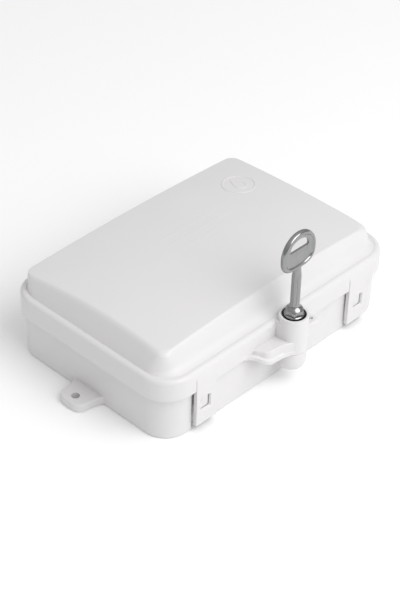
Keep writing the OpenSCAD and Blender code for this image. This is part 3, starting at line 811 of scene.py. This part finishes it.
def half_moon():
    """The bow's slot: straight below and arched above."""
    turn = [math.pi * i / 28 for i in range(29)]
    outline = [(SLOT_HALF * math.cos(a), SLOT_Z + SLOT_H * math.sin(a) ** 0.85) for a in turn]
    outline += [(-SLOT_HALF + 0.5, SLOT_Z - 0.5), (SLOT_HALF - 0.5, SLOT_Z - 0.5)]
    return loft("slot", [upright_at(outline, LOCK_Y + y) for y in (-4, 4)])


def rolled_bow():
    """The bow with a half-round rim and thin web."""
    turn = [math.pi * i / 12 for i in range(13)]
    bow = loft("bow", [upright_at(bow_outline(BOW_RIM / 2 * (1 - math.sin(a))),
                                  LOCK_Y - BOW_T / 2 * math.cos(a)) for a in turn])
    fields = []
    for side in (-1, 1):
        steps = ((WEB_T / 2, BOW_RIM + 1.0), (WEB_T / 2 + 0.25, BOW_RIM + 0.4),
                 (BOW_T / 2 - 0.25, BOW_RIM - 0.15), (BOW_T / 2 + 1, BOW_RIM - 0.4))
        rings = [upright_at(bow_outline(inset), LOCK_Y + side * y) for y, inset in steps]
        fields.append(loft("field", rings))
    return cut(bow, *fields)


def six_corners(r):
    """Outline of the key's hexagon."""
    turn = [NUT_TURN + math.pi / 3 * i for i in range(6)]
    return [(r * math.cos(a), LOCK_Y + r * math.sin(a)) for a in turn]


def key_shaft(z0):
    """Round shank with two seams, which flares into the collar at z0 and flattens into the bow above."""
    bell = smooth_curve([(COLLAR_R, z0 + 0.6), (6.15, z0 + 1.7), (5.95, z0 + 3.0), (5.6, z0 + 4.0),
                         (4.9, z0 + 5.0), (4.0, z0 + 5.9), (3.35, z0 + 6.8), (SHANK_R, z0 + 8.2)], 4)
    profile = [(COLLAR_R, z0 - 0.7)] + bell
    profile += [(SHANK_R, NECK_Z + 7.3 * i / 8) for i in range(9)] + [(SHANK_R - 0.4, BOW_Z0 + 1.4)]
    shaft = lathe("shaft", profile, (0, LOCK_Y), 96)
    kept(shaft, prism("nut", six_corners(COLLAR_R), 42, KEY_TOP))
    for point in shaft.data.vertices:
        flat = 1 - 0.38 * smooth_step(NECK_Z, BOW_Z0 + 0.8, point.co.z / MM)
        point.co.y = LOCK_Y * MM + (point.co.y - LOCK_Y * MM) * flat
    seams = [block("seam", 0, y, 0.3, 0.3, z0 + 8.4, NECK_Z) for y in (-SHANK_R, SHANK_R)]
    turn = Matrix.Translation((0, LOCK_Y, 0)) @ Matrix.Rotation(SEAM_TURN, 4, "Z")
    return cut(shaft, *[moved(seam, turn) for seam in seams])


def build_key():
    """The plated key: bow, shank, hexagonal collar on a round flange, and the square that fits the barrel."""
    bow = rolled_bow()
    cut(bow, eased(half_moon(), 0.2, 2, 60))
    z0 = BOSS_Z[2]
    collar = eased(prism("collar", six_corners(COLLAR_R - 0.25), 42.6, z0 + 0.3), 0.3)
    flange = lathe("flange", [(FLANGE_R - 0.4, -0.9), (FLANGE_R, -0.5), (FLANGE_R, 0.1),
                              (FLANGE_R - 0.2, 0.5), (FLANGE_R - 0.7, 0.8), (4, 1.5)], (0, LOCK_Y), 96, up=z0)
    square = eased(block("bit", 0, LOCK_Y, 2.5, 2.5, 33, 43), 0.3)
    joined(bow, key_shaft(z0), collar, flange, square)
    finished(bow, "lock_key", "key_plate", plated, "key", name="cabinet_key", angle=38)


build_key()


# ---------- hinge, seal and glands ----------


def hinge_pin(node):
    low, high = box_mm(node)
    r, long = (high.y - low.y) / 2, high.x - low.x
    profile = [(r - 0.5, 0), (r - 0.12, 0.18), (r, 0.6), (r, long - 1.4), (r - 0.14, long - 1.3),
               (r - 0.14, long - 0.9), (r, long - 0.8), (r, long - 0.5), (r - 0.5, long)]
    pin = along_x(lathe("pin", profile, steps=40), low.x, HINGE_Y, HINGE_Z)
    finished(pin, "base", "pin_steel", steel, node, name=node + "_turned")


def rim_seal():
    """Soft ring in the rim's groove, with a rounded bead on top."""
    inner, outer = GASKET_IN + 2.3, GASKET_IN
    mid, half = (inner + outer) / 2, (inner - outer) / 2
    z0, z1 = RIM_Z - 2, box_mm("rim_gasket")[1].z
    bead = [(mid + half * math.cos(a), z1 - half + half * math.sin(a)) for a in
            [math.pi * i / 10 for i in range(11)]]
    profile = [(outer, z0), (inner, z0)] + bead
    ring = loft("rim_seal", [base_ring(inset, z) for inset, z in profile], wrap=True)
    finished(ring, "base", "gasket_rubber", black_rubber, "rim_gasket")


def hexagon(name, r, z0, z1):
    """Hexagonal nut blank with its corners turned down at both ends."""
    outline = [(r * math.cos(a), r * math.sin(a)) for a in [math.pi / 3 * i for i in range(6)]]
    profile = [(r - 0.9, z0), (r + 0.1, z0 + 0.54), (r + 0.1, z1 - 0.54), (r - 0.9, z1)]
    return kept(eased(prism(name, outline, z0, z1), 0.25, 2), lathe("turned", profile, steps=72))


def threaded(r, z0, z1):
    """Outside thread drawn as close rings."""
    pitch, root = 1.5, r - 0.55
    profile = [(root, z0)]
    for i in range(int((z1 - z0) / pitch)):
        z = z0 + pitch * i
        profile += [(root, z + 0.2), (r, z + pitch * 0.45), (r, z + pitch * 0.6), (root, z + pitch * 0.95)]
    return lathe("thread", profile + [(root, z1)], steps=56)


def cable_gland(index):
    side = (-1, 1)[index - 1]

    def placed(obj, node, slot, material):
        along_x(obj, HX, side * GLAND_Y, GLAND_Z)
        finished(obj, "base", slot, material, node, name=node + "_shape")

    body = joined(threaded(8, -9, 0.2), hexagon("flange", 11, 0, 5), threaded(8, 4.8, 10))
    cut(body, rod("bore", 0, 0, -12, 4, 5.5), rod("seat", 0, 0, 3, 11, 6.5))
    placed(body, f"gland_body_{index}", "gland_plastic", grey_nylon)
    dome = [(9.3, 5.3), (9.6, 5.6), (9.6, 10.6), (9, 11.6), (8.5, 12.6), (7.9, 13.8), (7.2, 14.6), (6.4, 15)]
    cap = joined(lathe("dome", dome, steps=72), hexagon("grip", 10.2, 5.3, 11.3))
    for i in range(12):
        turn = Matrix.Rotation(math.pi / 6 * i + math.pi / 12, 4, "Z")
        joined(cap, eased(moved(box("rib", 8.7, 9.9, -0.5, 0.5, 5.6, 11.6), turn), 0.2, 2))
    mouth = lathe("mouth", [(4.6, 4), (4.6, 13.8), (5.6, 15.2)], steps=48)
    cut(cap, rod("hollow", 0, 0, 5, 10.3, 8.05), mouth)
    placed(cap, f"gland_cap_{index}", "gland_plastic", grey_nylon)
    ring = [(4.0, 3.2), (4.2, 3), (6.3, 3), (6.45, 3.2), (6.45, 9.4), (5.6, 10.1), (4.5, 10.2), (4.0, 9.7)]
    placed(lathe("seal", ring, steps=56, wrap=True), f"gland_seal_{index}", "gasket_rubber", black_rubber)
    nut = cut(hexagon("nut", 11, -WALL - 3.5, -WALL), rod("bore", 0, 0, -10, 0, 8.05))
    placed(nut, f"gland_locknut_{index}", "gland_plastic", grey_nylon)


for pin_node in ("hinge_pin_left", "hinge_pin_right"):
    hinge_pin(pin_node)
rim_seal()
for gland_index in (1, 2):
    cable_gland(gland_index)


# ---------- electronics in the base ----------

BLOCK = centre_mm("terminal_block")
BLOCK_HALF = 24.0
BLOCK_Z = box_mm("terminal_block")[0].z
POLE_X = [BLOCK.x - BLOCK_HALF + 6 * (i + 0.5) for i in range(8)]


def wire_clamps():
    """The terminal block: stepped body, a screw well and a wire mouth for each pole."""
    y, z0 = BLOCK.y, BLOCK_Z
    side_view = [(y - 7, z0), (y + 7, z0), (y + 7, z0 + 11.5), (y + 6, z0 + 13), (y - 3.4, z0 + 13),
                 (y - 4.5, z0 + 11.6), (y - 4.5, z0 + 10), (y - 7, z0 + 9.2)]
    body = eased(side_prism("clamps", side_view, BLOCK.x - BLOCK_HALF, BLOCK.x + BLOCK_HALF), 0.3, 2)
    holes = []
    for x in POLE_X:
        holes.append(lathe("well", [(2.1, z0 + 5), (2.1, z0 + 12.2), (2.7, z0 + 13.2)], (x, y + 1), 32))
        holes.append(eased(box("mouth", x - 1.9, x + 1.9, y - 8, y - 2, z0 + 2, z0 + 6), 0.4, 2))
    holes += [box("groove", x - 3.15, x - 2.85, y - 8, y + 8, z0 + 1, z0 + 14) for x in POLE_X[1:]]
    cut(body, *holes)
    joined(body, block("spine", BLOCK.x, y, BLOCK_HALF - 0.3, 6.6, z0, z0 + 1.6))
    finished(body, "base", "terminal_green", green_plastic, "terminal_block", name="wire_clamps")


LEAD_Y = -21.7
CHIP_X = (66, 82)
CHIP_Y = (-14, -7.6)
CAN_R = 4.2
RESISTOR_X = (52.5, 61.5)


def driver_row():
    """Small power transistors standing on their leads."""
    parts = []
    low, high = box_mm("valve_drivers")
    for i in range(6):
        x = BLOCK.x - 17.5 + 7 * i
        shape = box("body", x - 2.6, x + 2.6, low.y, high.y, low.z + 2.6, high.z)
        parts.append(cut(eased(shape, 0.35, 2), rod("mark", x, high.y, low.z + 9, high.z + 1, 0.9, 16)))
        for dx in (-1.6, 0, 1.6):
            parts.append(block("lead", x + dx, LEAD_Y, 0.3, 0.2, low.z, low.z + 3))
    finished(merged("driver_row", parts), "base", "component_black", black_epoxy, "valve_drivers")


def board_parts():
    """Resistors, chip and capacitors on the open part of the main board."""
    parts = []
    top = BLOCK_Z
    chip = eased(box("chip", *CHIP_X, *CHIP_Y, top + 0.7, top + 4), 0.4, 2)
    parts.append(cut(chip, rod("notch", CHIP_X[0], -10.8, top + 3.4, top + 5, 1.0, 20)))
    for i in range(6):
        for y in (CHIP_Y[0] - 0.6, CHIP_Y[1] + 0.6):
            parts.append(block("leg", CHIP_X[0] + 1.6 + 2.54 * i, y, 0.25, 0.4, top, top + 2.2))
    r = CAN_R
    can = [(r - 0.3, 0), (r, 0.5), (r, 1.6), (r - 0.35, 2.1), (r, 2.6), (r, 10.4), (r - 0.5, 11),
           (r - 0.9, 10.8)]
    parts += [lathe("can", can, (x, -9.5), 40, up=top) for x in (38.0, 48.5)]
    for i in range(4):
        y = -4.0 - 3.2 * i
        body = lathe("resistor", [(0.5, 0), (1.0, 0.4), (1.05, 1.3), (0.85, 1.8), (0.85, 4.2), (1.05, 4.7),
                                  (1.0, 5.6), (0.5, 6)], steps=20)
        parts.append(along_x(body, RESISTOR_X[0] + 1.5, y, top + 1.1))
        parts.append(box("wire", *RESISTOR_X, y - 0.25, y + 0.25, top + 0.9, top + 1.3))
        parts += [block("foot", x, y, 0.25, 0.25, top, top + 1.2) for x in (52.6, 61.4)]
    finished(merged("board_parts", parts), "base", "component_black", black_epoxy)


def iron_core():
    """Laminated stack with the coil's two windows, on a folded foot plate."""
    cx, cy = TRANSFORMER
    rings = []
    for i in range(LAMINATIONS + 1):
        for dy, inset in ((-0.12, 0), (0, 0.16), (0.12, 0)):
            y = cy - CORE_HALF + 2 * CORE_HALF * i / LAMINATIONS + dy
            if cy - CORE_HALF <= y <= cy + CORE_HALF:
                rings.append(upright_at(rounded_rect(cx - 21, cx + 21, 4.5, 36.5, 0.6, 3, inset=inset), y))
    core = loft("core", rings)
    cut(core, *[box("window", cx + x0, cx + x0 + 7, cy - 10, cy + 10, 11.5, 29.5) for x0 in (-14, 7)])
    foot = cut(eased(box("foot", cx - 29.5, cx + 29.5, cy - 14, cy + CORE_HALF, 3, 4.5), 0.3, 2),
               *[rod("hole", cx + dx, cy - CORE_HALF, 2, 6, 1.7, 24) for dx in (-26, 26)])
    finished(merged("iron_core", [core, foot]), "base", "core_steel", core_iron, "transformer_core")


def round_leg(obj):
    """obj with a hole for the core's middle leg."""
    return cut(obj, block("leg", *TRANSFORMER, 7.05, CORE_HALF + 0.05, 10, 31))


def coil():
    """Tape-wrapped winding between the bobbin's cheeks."""
    cx, cy = TRANSFORMER
    rings = []
    for i in range(9):
        belly = 0.25 * math.sin(math.pi * i / 8)
        outline = rounded_rect(cx - 13, cx + 13, cy - 15.2, cy + 15.2, 3, 6, inset=-belly)
        rings.append(flat_at(outline, 13.0 + 15.0 * i / 8))
    finished(round_leg(loft("coil", rings)), "base", "winding_tape", tape, "transformer_winding")
    cheeks = []
    for z0, z1 in ((11.7, 13.1), (27.9, 29.3)):
        cheeks.append(round_leg(eased(block("cheek", cx, cy, 13.8, 16, z0, z1), 0.3, 2)))
    finished(merged("coil_cheeks", cheeks), "base", "component_black", black_epoxy)


def battery():
    """Block battery with its two snaps, in an open tray."""
    low, high = box_mm("backup_battery")
    end = high.x - 1.4
    cell = eased(box("cell", low.x, end, low.y, high.y, low.z, high.z), 2.2, 5)
    y, z = (low.y + high.y) / 2, (low.z + high.z) / 2
    snaps = [along_x(lathe("snap", profile, steps=28), end, y + dy, z) for dy, profile in (
        (-6.3, [(3.2, -2), (3.2, 0.6), (2.9, 1.4)]), (6.3, [(4.2, -2), (4.2, 0.5), (4.0, 1.3), (3.4, 1.3)]))]
    finished(joined(cell, *snaps), "base", "cell_wrap", foil, "backup_battery", name="battery_cell")
    tray = eased(box("tray", -76, -22, 13, 43, WALL, 16), 0.6)
    well = eased(box("well", -74, -24, 15, 41, WALL + 1.5, 19), 1.0, 2)
    cut(tray, well, box("grip", -60, -38, 12, 44, 10, 17))
    finished(tray, "base", "component_black", black_epoxy, "battery_tray", name="battery_cradle")


green_plastic = moulded("green_polyamide", (0.02, 0.20, 0.06), rough=0.42, grain=0.02, tone=0.1)
black_epoxy = moulded("black_epoxy", (0.022, 0.022, 0.024), rough=0.48, grain=0.03, tone=0.2)
tape = moulded("coil_tape", (0.62, 0.40, 0.04), rough=0.3, grain=0.02, tone=0.16, grain_scale=700)
foil = moulded("cell_foil", (0.05, 0.10, 0.22), rough=0.28, grain=0.006, tone=0.2, grain_scale=300)
core_iron = cast_metal("lamination_steel", (0.20, 0.20, 0.21), 0.36, (0.2, 1, 0.2), 0.03, 0.12, 0.3, 900)
TRANSFORMER = centre_mm("transformer_winding").xy
LAMINATIONS = 16
CORE_HALF = 9

wire_clamps()
driver_row()
board_parts()
iron_core()
coil()
battery()


# ---------- control panel ----------

PANEL_LOW, PANEL_HIGH = box_mm("panel_plate")
PANEL_Z = PANEL_HIGH.z - 1.5
PANEL_T = 2.5
UI_BOARD_Z = box_mm("display_board")[0].z
UI_TOP = box_mm("display_board")[1].z
UI_POSTS = post_grid((-84, 18), (-24, 44))
LCD_LOW, LCD_HIGH = box_mm("display_window")
DIAL = centre_mm("dial_knob")
DIAL_R = 17.0
BUTTONS = [centre_mm(f"button_{i}") for i in (1, 2, 3, 4)]
BUTTON_R = 5.0
SLIDER = centre_mm("slide_switch")
LEDS = [(x, SLIDER.y) for x in (-10, 0, 10)]


def panel_face():
    """Plate with a raised rim, a framed display opening and holes for the controls."""
    sides = (PANEL_LOW.x, PANEL_HIGH.x, PANEL_LOW.y, PANEL_HIGH.y)
    z0, z1 = PANEL_Z - PANEL_T, PANEL_HIGH.z
    steps = [(0.4, z0), (0, z0 + 0.4), (0, z1 - 0.5), (0.15, z1 - 0.15), (0.5, z1), (1.1, z1),
             (1.5, z1 - 0.2), (1.7, PANEL_Z + 0.3), (2.1, PANEL_Z)]
    plate = loft("panel", [flat_at(rounded_rect(*sides, 9 - inset, inset=inset), z) for inset, z in steps])
    view = (LCD_LOW.x - 0.1, LCD_HIGH.x + 0.1, LCD_LOW.y - 0.1, LCD_HIGH.y + 0.1)
    foot = PANEL_Z - 1  # raised parts start inside the plate
    bezel = eased(prism("bezel", rounded_rect(*view, 3, 6, inset=-3), foot, PANEL_Z + 0.9), 0.4)
    collars = [eased(rod("collar", b.x, b.y, foot, PANEL_Z + 0.6, BUTTON_R + 1.8), 0.3, 2) for b in BUTTONS]
    cups = [eased(rod("cup", x, y, foot, PANEL_Z + 0.5, 3.0, 32), 0.3, 2) for x, y in LEDS]
    groove = rounded_rect(SLIDER.x - 9, SLIDER.x + 9, SLIDER.y - 4.4, SLIDER.y + 4.4, 2.4, 6)
    track = eased(prism("track", groove, foot, PANEL_Z + 0.6), 0.3, 2)
    posts = [rod("post", x, y, UI_TOP, z0 + 1, 3) for x, y in UI_POSTS]
    joined(plate, bezel, *collars, *cups, track, *posts)
    through = (z0 - 1, PANEL_Z + 3)
    holes = [box("view", *view, *through), rod("dial_hole", *DIAL.xy, *through, 5),
             block("slot", SLIDER.x, SLIDER.y, 5.6, 2, *through)]
    holes += [rod("hole", b.x, b.y, *through, BUTTON_R + GAP) for b in BUTTONS]
    holes += [rod("hole", x, y, *through, 1.6, 24) for x, y in LEDS]
    holes += [rod("hole", x, y, *through, 1.7, 24) for x, y in PANEL_POSTS]
    holes += [rod("hole", x, y, UI_BOARD_Z, z0 - 1, 1.3, 24) for x, y in UI_POSTS]
    finished(cut(plate, *holes), "base", "panel_plastic", panel_grey, "panel_plate", name="panel_face")


def printed_text(body, x, y, size):
    """A number as thin raised ink on the panel."""
    curve = bpy.data.curves.new("ink", "FONT")
    curve.body = body
    curve.align_x = curve.align_y = "CENTER"
    curve.size = size * MM
    curve.extrude = 0.04 * MM
    source = linked("ink", curve)
    bpy.context.view_layer.update()
    mesh = bpy.data.meshes.new_from_object(source.evaluated_get(bpy.context.evaluated_depsgraph_get()))
    bpy.data.objects.remove(source)
    bpy.data.curves.remove(curve)
    mesh.transform(Matrix.Translation(Vector((x, y, PANEL_Z + 0.05)) * MM))
    return linked("ink", mesh)


def panel_print():
    """Ticks, dots and plain numbers round the dial, a line under each button and a rule across the panel."""
    parts = []
    heights = (PANEL_Z - 0.2, PANEL_Z + 0.09)
    for i in range(7):
        a = math.radians(90 + 150 - 50 * i)
        ux, uy = math.cos(a), math.sin(a)
        parts.append(printed_text(str(i + 1), DIAL.x + 23.2 * ux, DIAL.y + 23.2 * uy, 4.4))
        tick = [(DIAL.x + r * ux + s * 0.35 * uy, DIAL.y + r * uy - s * 0.35 * ux)
                for r, s in ((18.4, -1), (20.2, -1), (20.2, 1), (18.4, 1))]
        parts.append(prism("tick", tick, *heights))
    parts += [rod("dot", DIAL.x + x, DIAL.y + y, *heights, 0.4, 12) for x, y in arc(0, 0, 19.3, 215, -35, 5)]
    parts += [block("underline", b.x, b.y - 8.7, 4, 0.3, *heights) for b in BUTTONS]
    y0 = BUTTONS[0].y - 11.5
    parts.append(box("rule", PANEL_LOW.x + 8, PANEL_HIGH.x - 8, y0 - 0.3, y0 + 0.3, *heights))
    finished(merged("panel_print", parts), "base", "panel_plastic", ink, weighted=False)


def display():
    """Frame and liquid-crystal glass, its resting segments, and the clear window over them."""
    low, high = box_mm("display_module")
    z1 = high.z - 0.3
    sides = (LCD_LOW.x + 1.5, LCD_HIGH.x - 1.5, LCD_LOW.y + 1.5, LCD_HIGH.y - 1.5)
    surround = eased(box("frame", low.x, high.x, low.y, high.y, low.z, z1), 0.5, 2)
    cut(surround, box("glass_seat", *sides, z1 - 0.8, z1 + 1))
    finished(surround, "base", "component_black", black_epoxy, name="display_frame")
    glass = eased(box("display_glass", *sides, low.z + 1, z1 - 0.4), 0.2, 2)
    finished(glass, "base", "display_glass", crystal, "display_module")
    y, w, h, t = LCD_LOW.y + 14, 3.2, 6.2, 1.0  # middle, half width, half height and stroke of a digit
    heights = (z1 - 0.45, z1 - 0.32)
    parts = []
    for x in (-67, -57, -43, -33):
        parts += [block("bar", x, y + dy, w - t, t / 2, *heights) for dy in (-h, 0, h)]
        parts += [block("bar", x + dx, y + dy, t / 2, h / 2 - t * 0.7, *heights)
                  for dx in (-w, w) for dy in (-h / 2, h / 2)]
    parts += [rod("colon", -50, y + dy, *heights, 0.8, 16) for dy in (-3, 3)]
    finished(merged("display_segments", parts), "base", "display_glass", segment, weighted=False)
    pane = box("display_pane", LCD_LOW.x, LCD_HIGH.x, LCD_LOW.y, LCD_HIGH.y, PANEL_Z - 2.2, LCD_HIGH.z)
    finished(eased(pane, 0.4), "base", "window_clear", clear, "display_window")


def leds():
    """Domed lenses of the three status lights, which give off a faint painted green glow."""
    z = PANEL_Z - 1
    dome = [(1.5 * math.cos(a), z + 1.5 * math.sin(a)) for a in [math.pi / 2 * i / 7 for i in range(7)]]
    profile = [(1.45, UI_TOP), (1.5, UI_TOP + 0.3)] + dome + [(0.12, z + 1.5)]
    parts = [lathe("led", profile, place, 28) for place in LEDS]
    finished(merged("led_lenses", parts), "base", "led_lens", lens, "status_leds")


def knob():
    """Fluted grip on a thin skirt, with a pointer let into the top."""
    z0 = PANEL_Z + 0.5

    def spoke(name, half, near, far, low, high):
        return box(name, DIAL.x - half, DIAL.x + half, DIAL.y + near, DIAL.y + far, z0 + low, z0 + high)

    skirt = lathe("knob", [(DIAL_R - 0.6, 0), (DIAL_R, 0.5), (DIAL_R, 1.2), (DIAL_R - 0.5, 2.0),
                           (DIAL_R - 2.6, 2.9), (DIAL_R - 3.6, 3.3), (4, 3.3)], DIAL.xy, 96, up=z0)
    turn = [2 * math.pi * i / 144 for i in range(144)]
    rings = []
    for z, r, deep in ((2.2, 13.9, 0.75), (4, 13.4, 0.8), (8.6, 12.7, 0.8), (9.4, 12.5, 0.6),
                       (9.9, 12.1, 0.2), (10.0, 11.4, 0)):
        reach = [(a, r - deep * abs(math.sin(9 * a)) ** 0.6) for a in turn]
        rings.append([(DIAL.x + far * math.cos(a), DIAL.y + far * math.sin(a), z0 + z) for a, far in reach])
    grip = loft("grip", rings)
    stem = rod("stem", DIAL.x, DIAL.y, UI_TOP + 4, z0 + 3, 3)
    joined(skirt, grip, stem)
    dish = lathe("dish", [(8.2, 9.7), (8.9, 10.4)], DIAL.xy, 64, up=z0)
    groove = spoke("pointer_seat", 0.8, 5, 20, 9.2, 11)
    finished(cut(skirt, dish, groove), "dial", "knob_plastic", knob_black, "dial_knob", name="knob_grip")
    mark = eased(spoke("pointer", 0.7, 5.1, 12.2, 9, 9.8), 0.15, 2)
    line = eased(spoke("line", 0.5, 13.8, 16.2, 1.6, 2.9), 0.1, 2)
    finished(merged("knob_mark", [mark, line]), "dial", "panel_plastic", ink)


def button_cap(index):
    """Soft cap with a rounded edge and a shallow dish for the finger."""
    low, high = box_mm(f"button_{index}")
    b, r, top = BUTTONS[index - 1], BUTTON_R, high.z
    under = PANEL_Z - PANEL_T
    profile = [(1.7, low.z), (2, low.z + 0.3), (2, under - 1.7), (r + 1, under - 1.6), (r + 1.2, under - 1.4),
               (r + 1.2, under - 0.5), (r + 1, under - 0.3), (r, under - 0.3), (r, top - 0.9),
               (r - 0.1, top - 0.5), (r - 0.35, top - 0.2), (r - 0.8, top), (r - 1.2, top - 0.02),
               (r - 2.2, top - 0.25), (r - 3.4, top - 0.42), (0.4, top - 0.48)]
    cap = lathe(f"button_cap_{index}", profile, (b.x, b.y), 56)
    finished(cap, f"push_{index}", "button_rubber", blue_rubber, f"button_{index}")


def slider_cap():
    """Cap of the sensor switch, with three grip grooves."""
    low, high = box_mm("sensor_slider")
    x, y = centre_mm("sensor_slider").xy
    cap = eased(box("slider_cap", low.x, high.x, low.y, high.y, low.z, high.z), 0.35, 3)
    cut(cap, *[block("groove", x + dx, y, 0.2, 3, high.z - 0.5, high.z + 1) for dx in (-1, 0, 1)])
    finished(cap, "slider", "button_rubber", blue_rubber, "sensor_slider")


panel_grey = moulded("panel_abs", (0.36, 0.385, 0.40), rough=0.42, grain=0.02, tone=0.05)
ink = moulded("print_ink", (0.80, 0.81, 0.80), rough=0.5, grain=0.004, tone=0.05)
knob_black = moulded("knob_abs", (0.03, 0.032, 0.036), rough=0.40, grain=0.03, tone=0.15)
blue_rubber = moulded("button_silicone", (0.03, 0.16, 0.42), rough=0.5, grain=0.03, tone=0.1,
                      grain_scale=1500)
crystal = moulded("liquid_crystal", (0.30, 0.37, 0.26), rough=0.16, grain=0.001, tone=0.06)
segment = moulded("segment_ghost", (0.09, 0.115, 0.085), rough=0.2, grain=0.001, tone=0.1)
# Painted glow: the status-light lenses give off a faint green emission, though they are not lamps.
lens = moulded("led_green", (0.03, 0.35, 0.06), rough=0.12, grain=0.001, tone=0.2,
               Transmission_Weight=0.35, Emission_Color=(0.05, 0.6, 0.1, 1), Emission_Strength=0.12)
clear = moulded("window_acrylic", (0.96, 0.97, 0.97), rough=0.06, grain=0.0005, tone=0.01,
                Transmission_Weight=1.0, IOR=1.45)

panel_face()
panel_print()
display()
leds()
knob()
for button_index in (1, 2, 3, 4):
    button_cap(button_index)
slider_cap()


# ---------- lock ----------


def ring_face():
    """Black ring between the key and the boss."""
    low, high = box_mm("lock_ring")
    r = (high.x - low.x) / 2
    inner = FLANGE_R + 0.15
    profile = [(inner, low.z), (r, low.z), (r, high.z - 0.2), (r - 0.2, high.z), (inner + 0.25, high.z),
               (inner, high.z - 0.25)]
    ring = lathe("ring_face", profile, (0, LOCK_Y), 80, wrap=True)
    finished(ring, "lid", "lock_dark", dark_metal, "lock_ring")


ring_face()


# ---------- scene ----------


def paint(material, *nodes):
    for node in nodes:
        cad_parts[node].data.materials.clear()
        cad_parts[node].data.materials.append(material)


def circuit_green():
    """Solder mask over a pattern of copper tracks."""
    material, tree, shader = new_material("solder_mask", (0.012, 0.13, 0.045), 0.3)
    tracks = tree.nodes.new("ShaderNodeTexBrick")
    tracks.inputs["Color1"].default_value = (0.012, 0.13, 0.045, 1)
    tracks.inputs["Color2"].default_value = (0.014, 0.145, 0.05, 1)
    tracks.inputs["Mortar"].default_value = (0.03, 0.24, 0.085, 1)
    tracks.inputs["Scale"].default_value = 60
    tracks.inputs["Mortar Size"].default_value = 0.035
    tree.links.new(coordinates(tree), tracks.inputs["Vector"])
    tree.links.new(tracks.outputs["Color"], shader.inputs["Base Color"])
    bump(tree, shader, tracks.outputs["Fac"], 0.03, 0.6)
    return material


board_green = circuit_green()
paint(dark_metal, "lock_barrel")
paint(steel, "lock_cam", "cam_screw", "board_screws", "terminal_screws", "transformer_screws", "panel_screws",
      "display_screws", "slide_switch")
paint(board_green, "main_board", "display_board")
paint(black_epoxy, "board_header", "key_switches", "dial_encoder")

# Camera: direction, distance and lens that give the object its perspective
AZIMUTH = 47.0
ELEVATION = 37.8
ROLL = 1.6
DISTANCE = 1100.0
TARGET = Vector((-11.4, -8.3, 30.0))
FOCAL_SHARE = 2.911  # focal length over the picture's long side


def add_camera():
    a, e = math.radians(AZIMUTH), math.radians(ELEVATION)
    back = Vector((-math.sin(a) * math.cos(e), -math.cos(a) * math.cos(e), math.sin(e)))
    data = bpy.data.cameras.new("camera")
    data.sensor_width = 36
    data.lens = FOCAL_SHARE * data.sensor_width
    data.clip_start, data.clip_end = 0.05, 20
    camera = linked("camera", data)
    camera.location = (TARGET + back * DISTANCE) * MM
    turn = (-back).to_track_quat("-Z", "Y").to_matrix().to_4x4() @ Matrix.Rotation(math.radians(ROLL), 4, "Z")
    camera.rotation_euler = turn.to_euler()
    bpy.context.scene.camera = camera


def add_light():
    """Round light aimed at the object from the front, 1.6 m away and 1.5 m wide."""
    a, e = math.radians(8), math.radians(46)
    back = Vector((math.sin(a) * math.cos(e), -math.cos(a) * math.cos(e), math.sin(e)))
    data = bpy.data.lights.new("key_light", "AREA")
    data.shape = "DISK"
    data.size = 1.5
    data.energy = 16.8
    lamp = linked("key_light", data)
    lamp.location = back * 1.6
    lamp.rotation_euler = (-back).to_track_quat("-Z", "Y").to_euler()


def add_world():
    """Soft surround, brighter overhead than at the walls."""
    world = bpy.data.worlds.new("studio")
    world.use_nodes = True
    tree = world.node_tree
    place = tree.nodes.new("ShaderNodeTexCoord")
    parts = tree.nodes.new("ShaderNodeSeparateXYZ")
    tree.links.new(place.outputs["Generated"], parts.inputs["Vector"])
    light = ramp(tree, parts.outputs["Z"], [(0.0, (0.44, 0.44, 0.445)), (0.3, (0.52, 0.52, 0.525)),
                                            (0.9, (0.80, 0.795, 0.80))])
    tree.links.new(light, tree.nodes["Background"].inputs["Color"])
    tree.nodes["Background"].inputs["Strength"].default_value = 1.0
    bpy.context.scene.world = world


def add_stage():
    """White floor just under the object, the surround and one light."""
    size, z = 6000, -0.05
    floor = mesh_from("floor", [(-size, -size, z), (size, -size, z), (size, size, z), (-size, size, z)],
                      [(0, 1, 2, 3)])
    material, tree, shader = new_material("floor_white", (0.97, 0.97, 0.97), 0.7)
    tones = [(0.3, (0.965, 0.965, 0.965)), (0.7, (0.975, 0.975, 0.975))]
    tree.links.new(ramp(tree, noise(tree, coordinates(tree), 3), tones), shader.inputs["Base Color"])
    floor.data.materials.append(material)
    add_world()
    add_light()
    bpy.context.scene.view_settings.view_transform = "Standard"


add_camera()
add_stage()
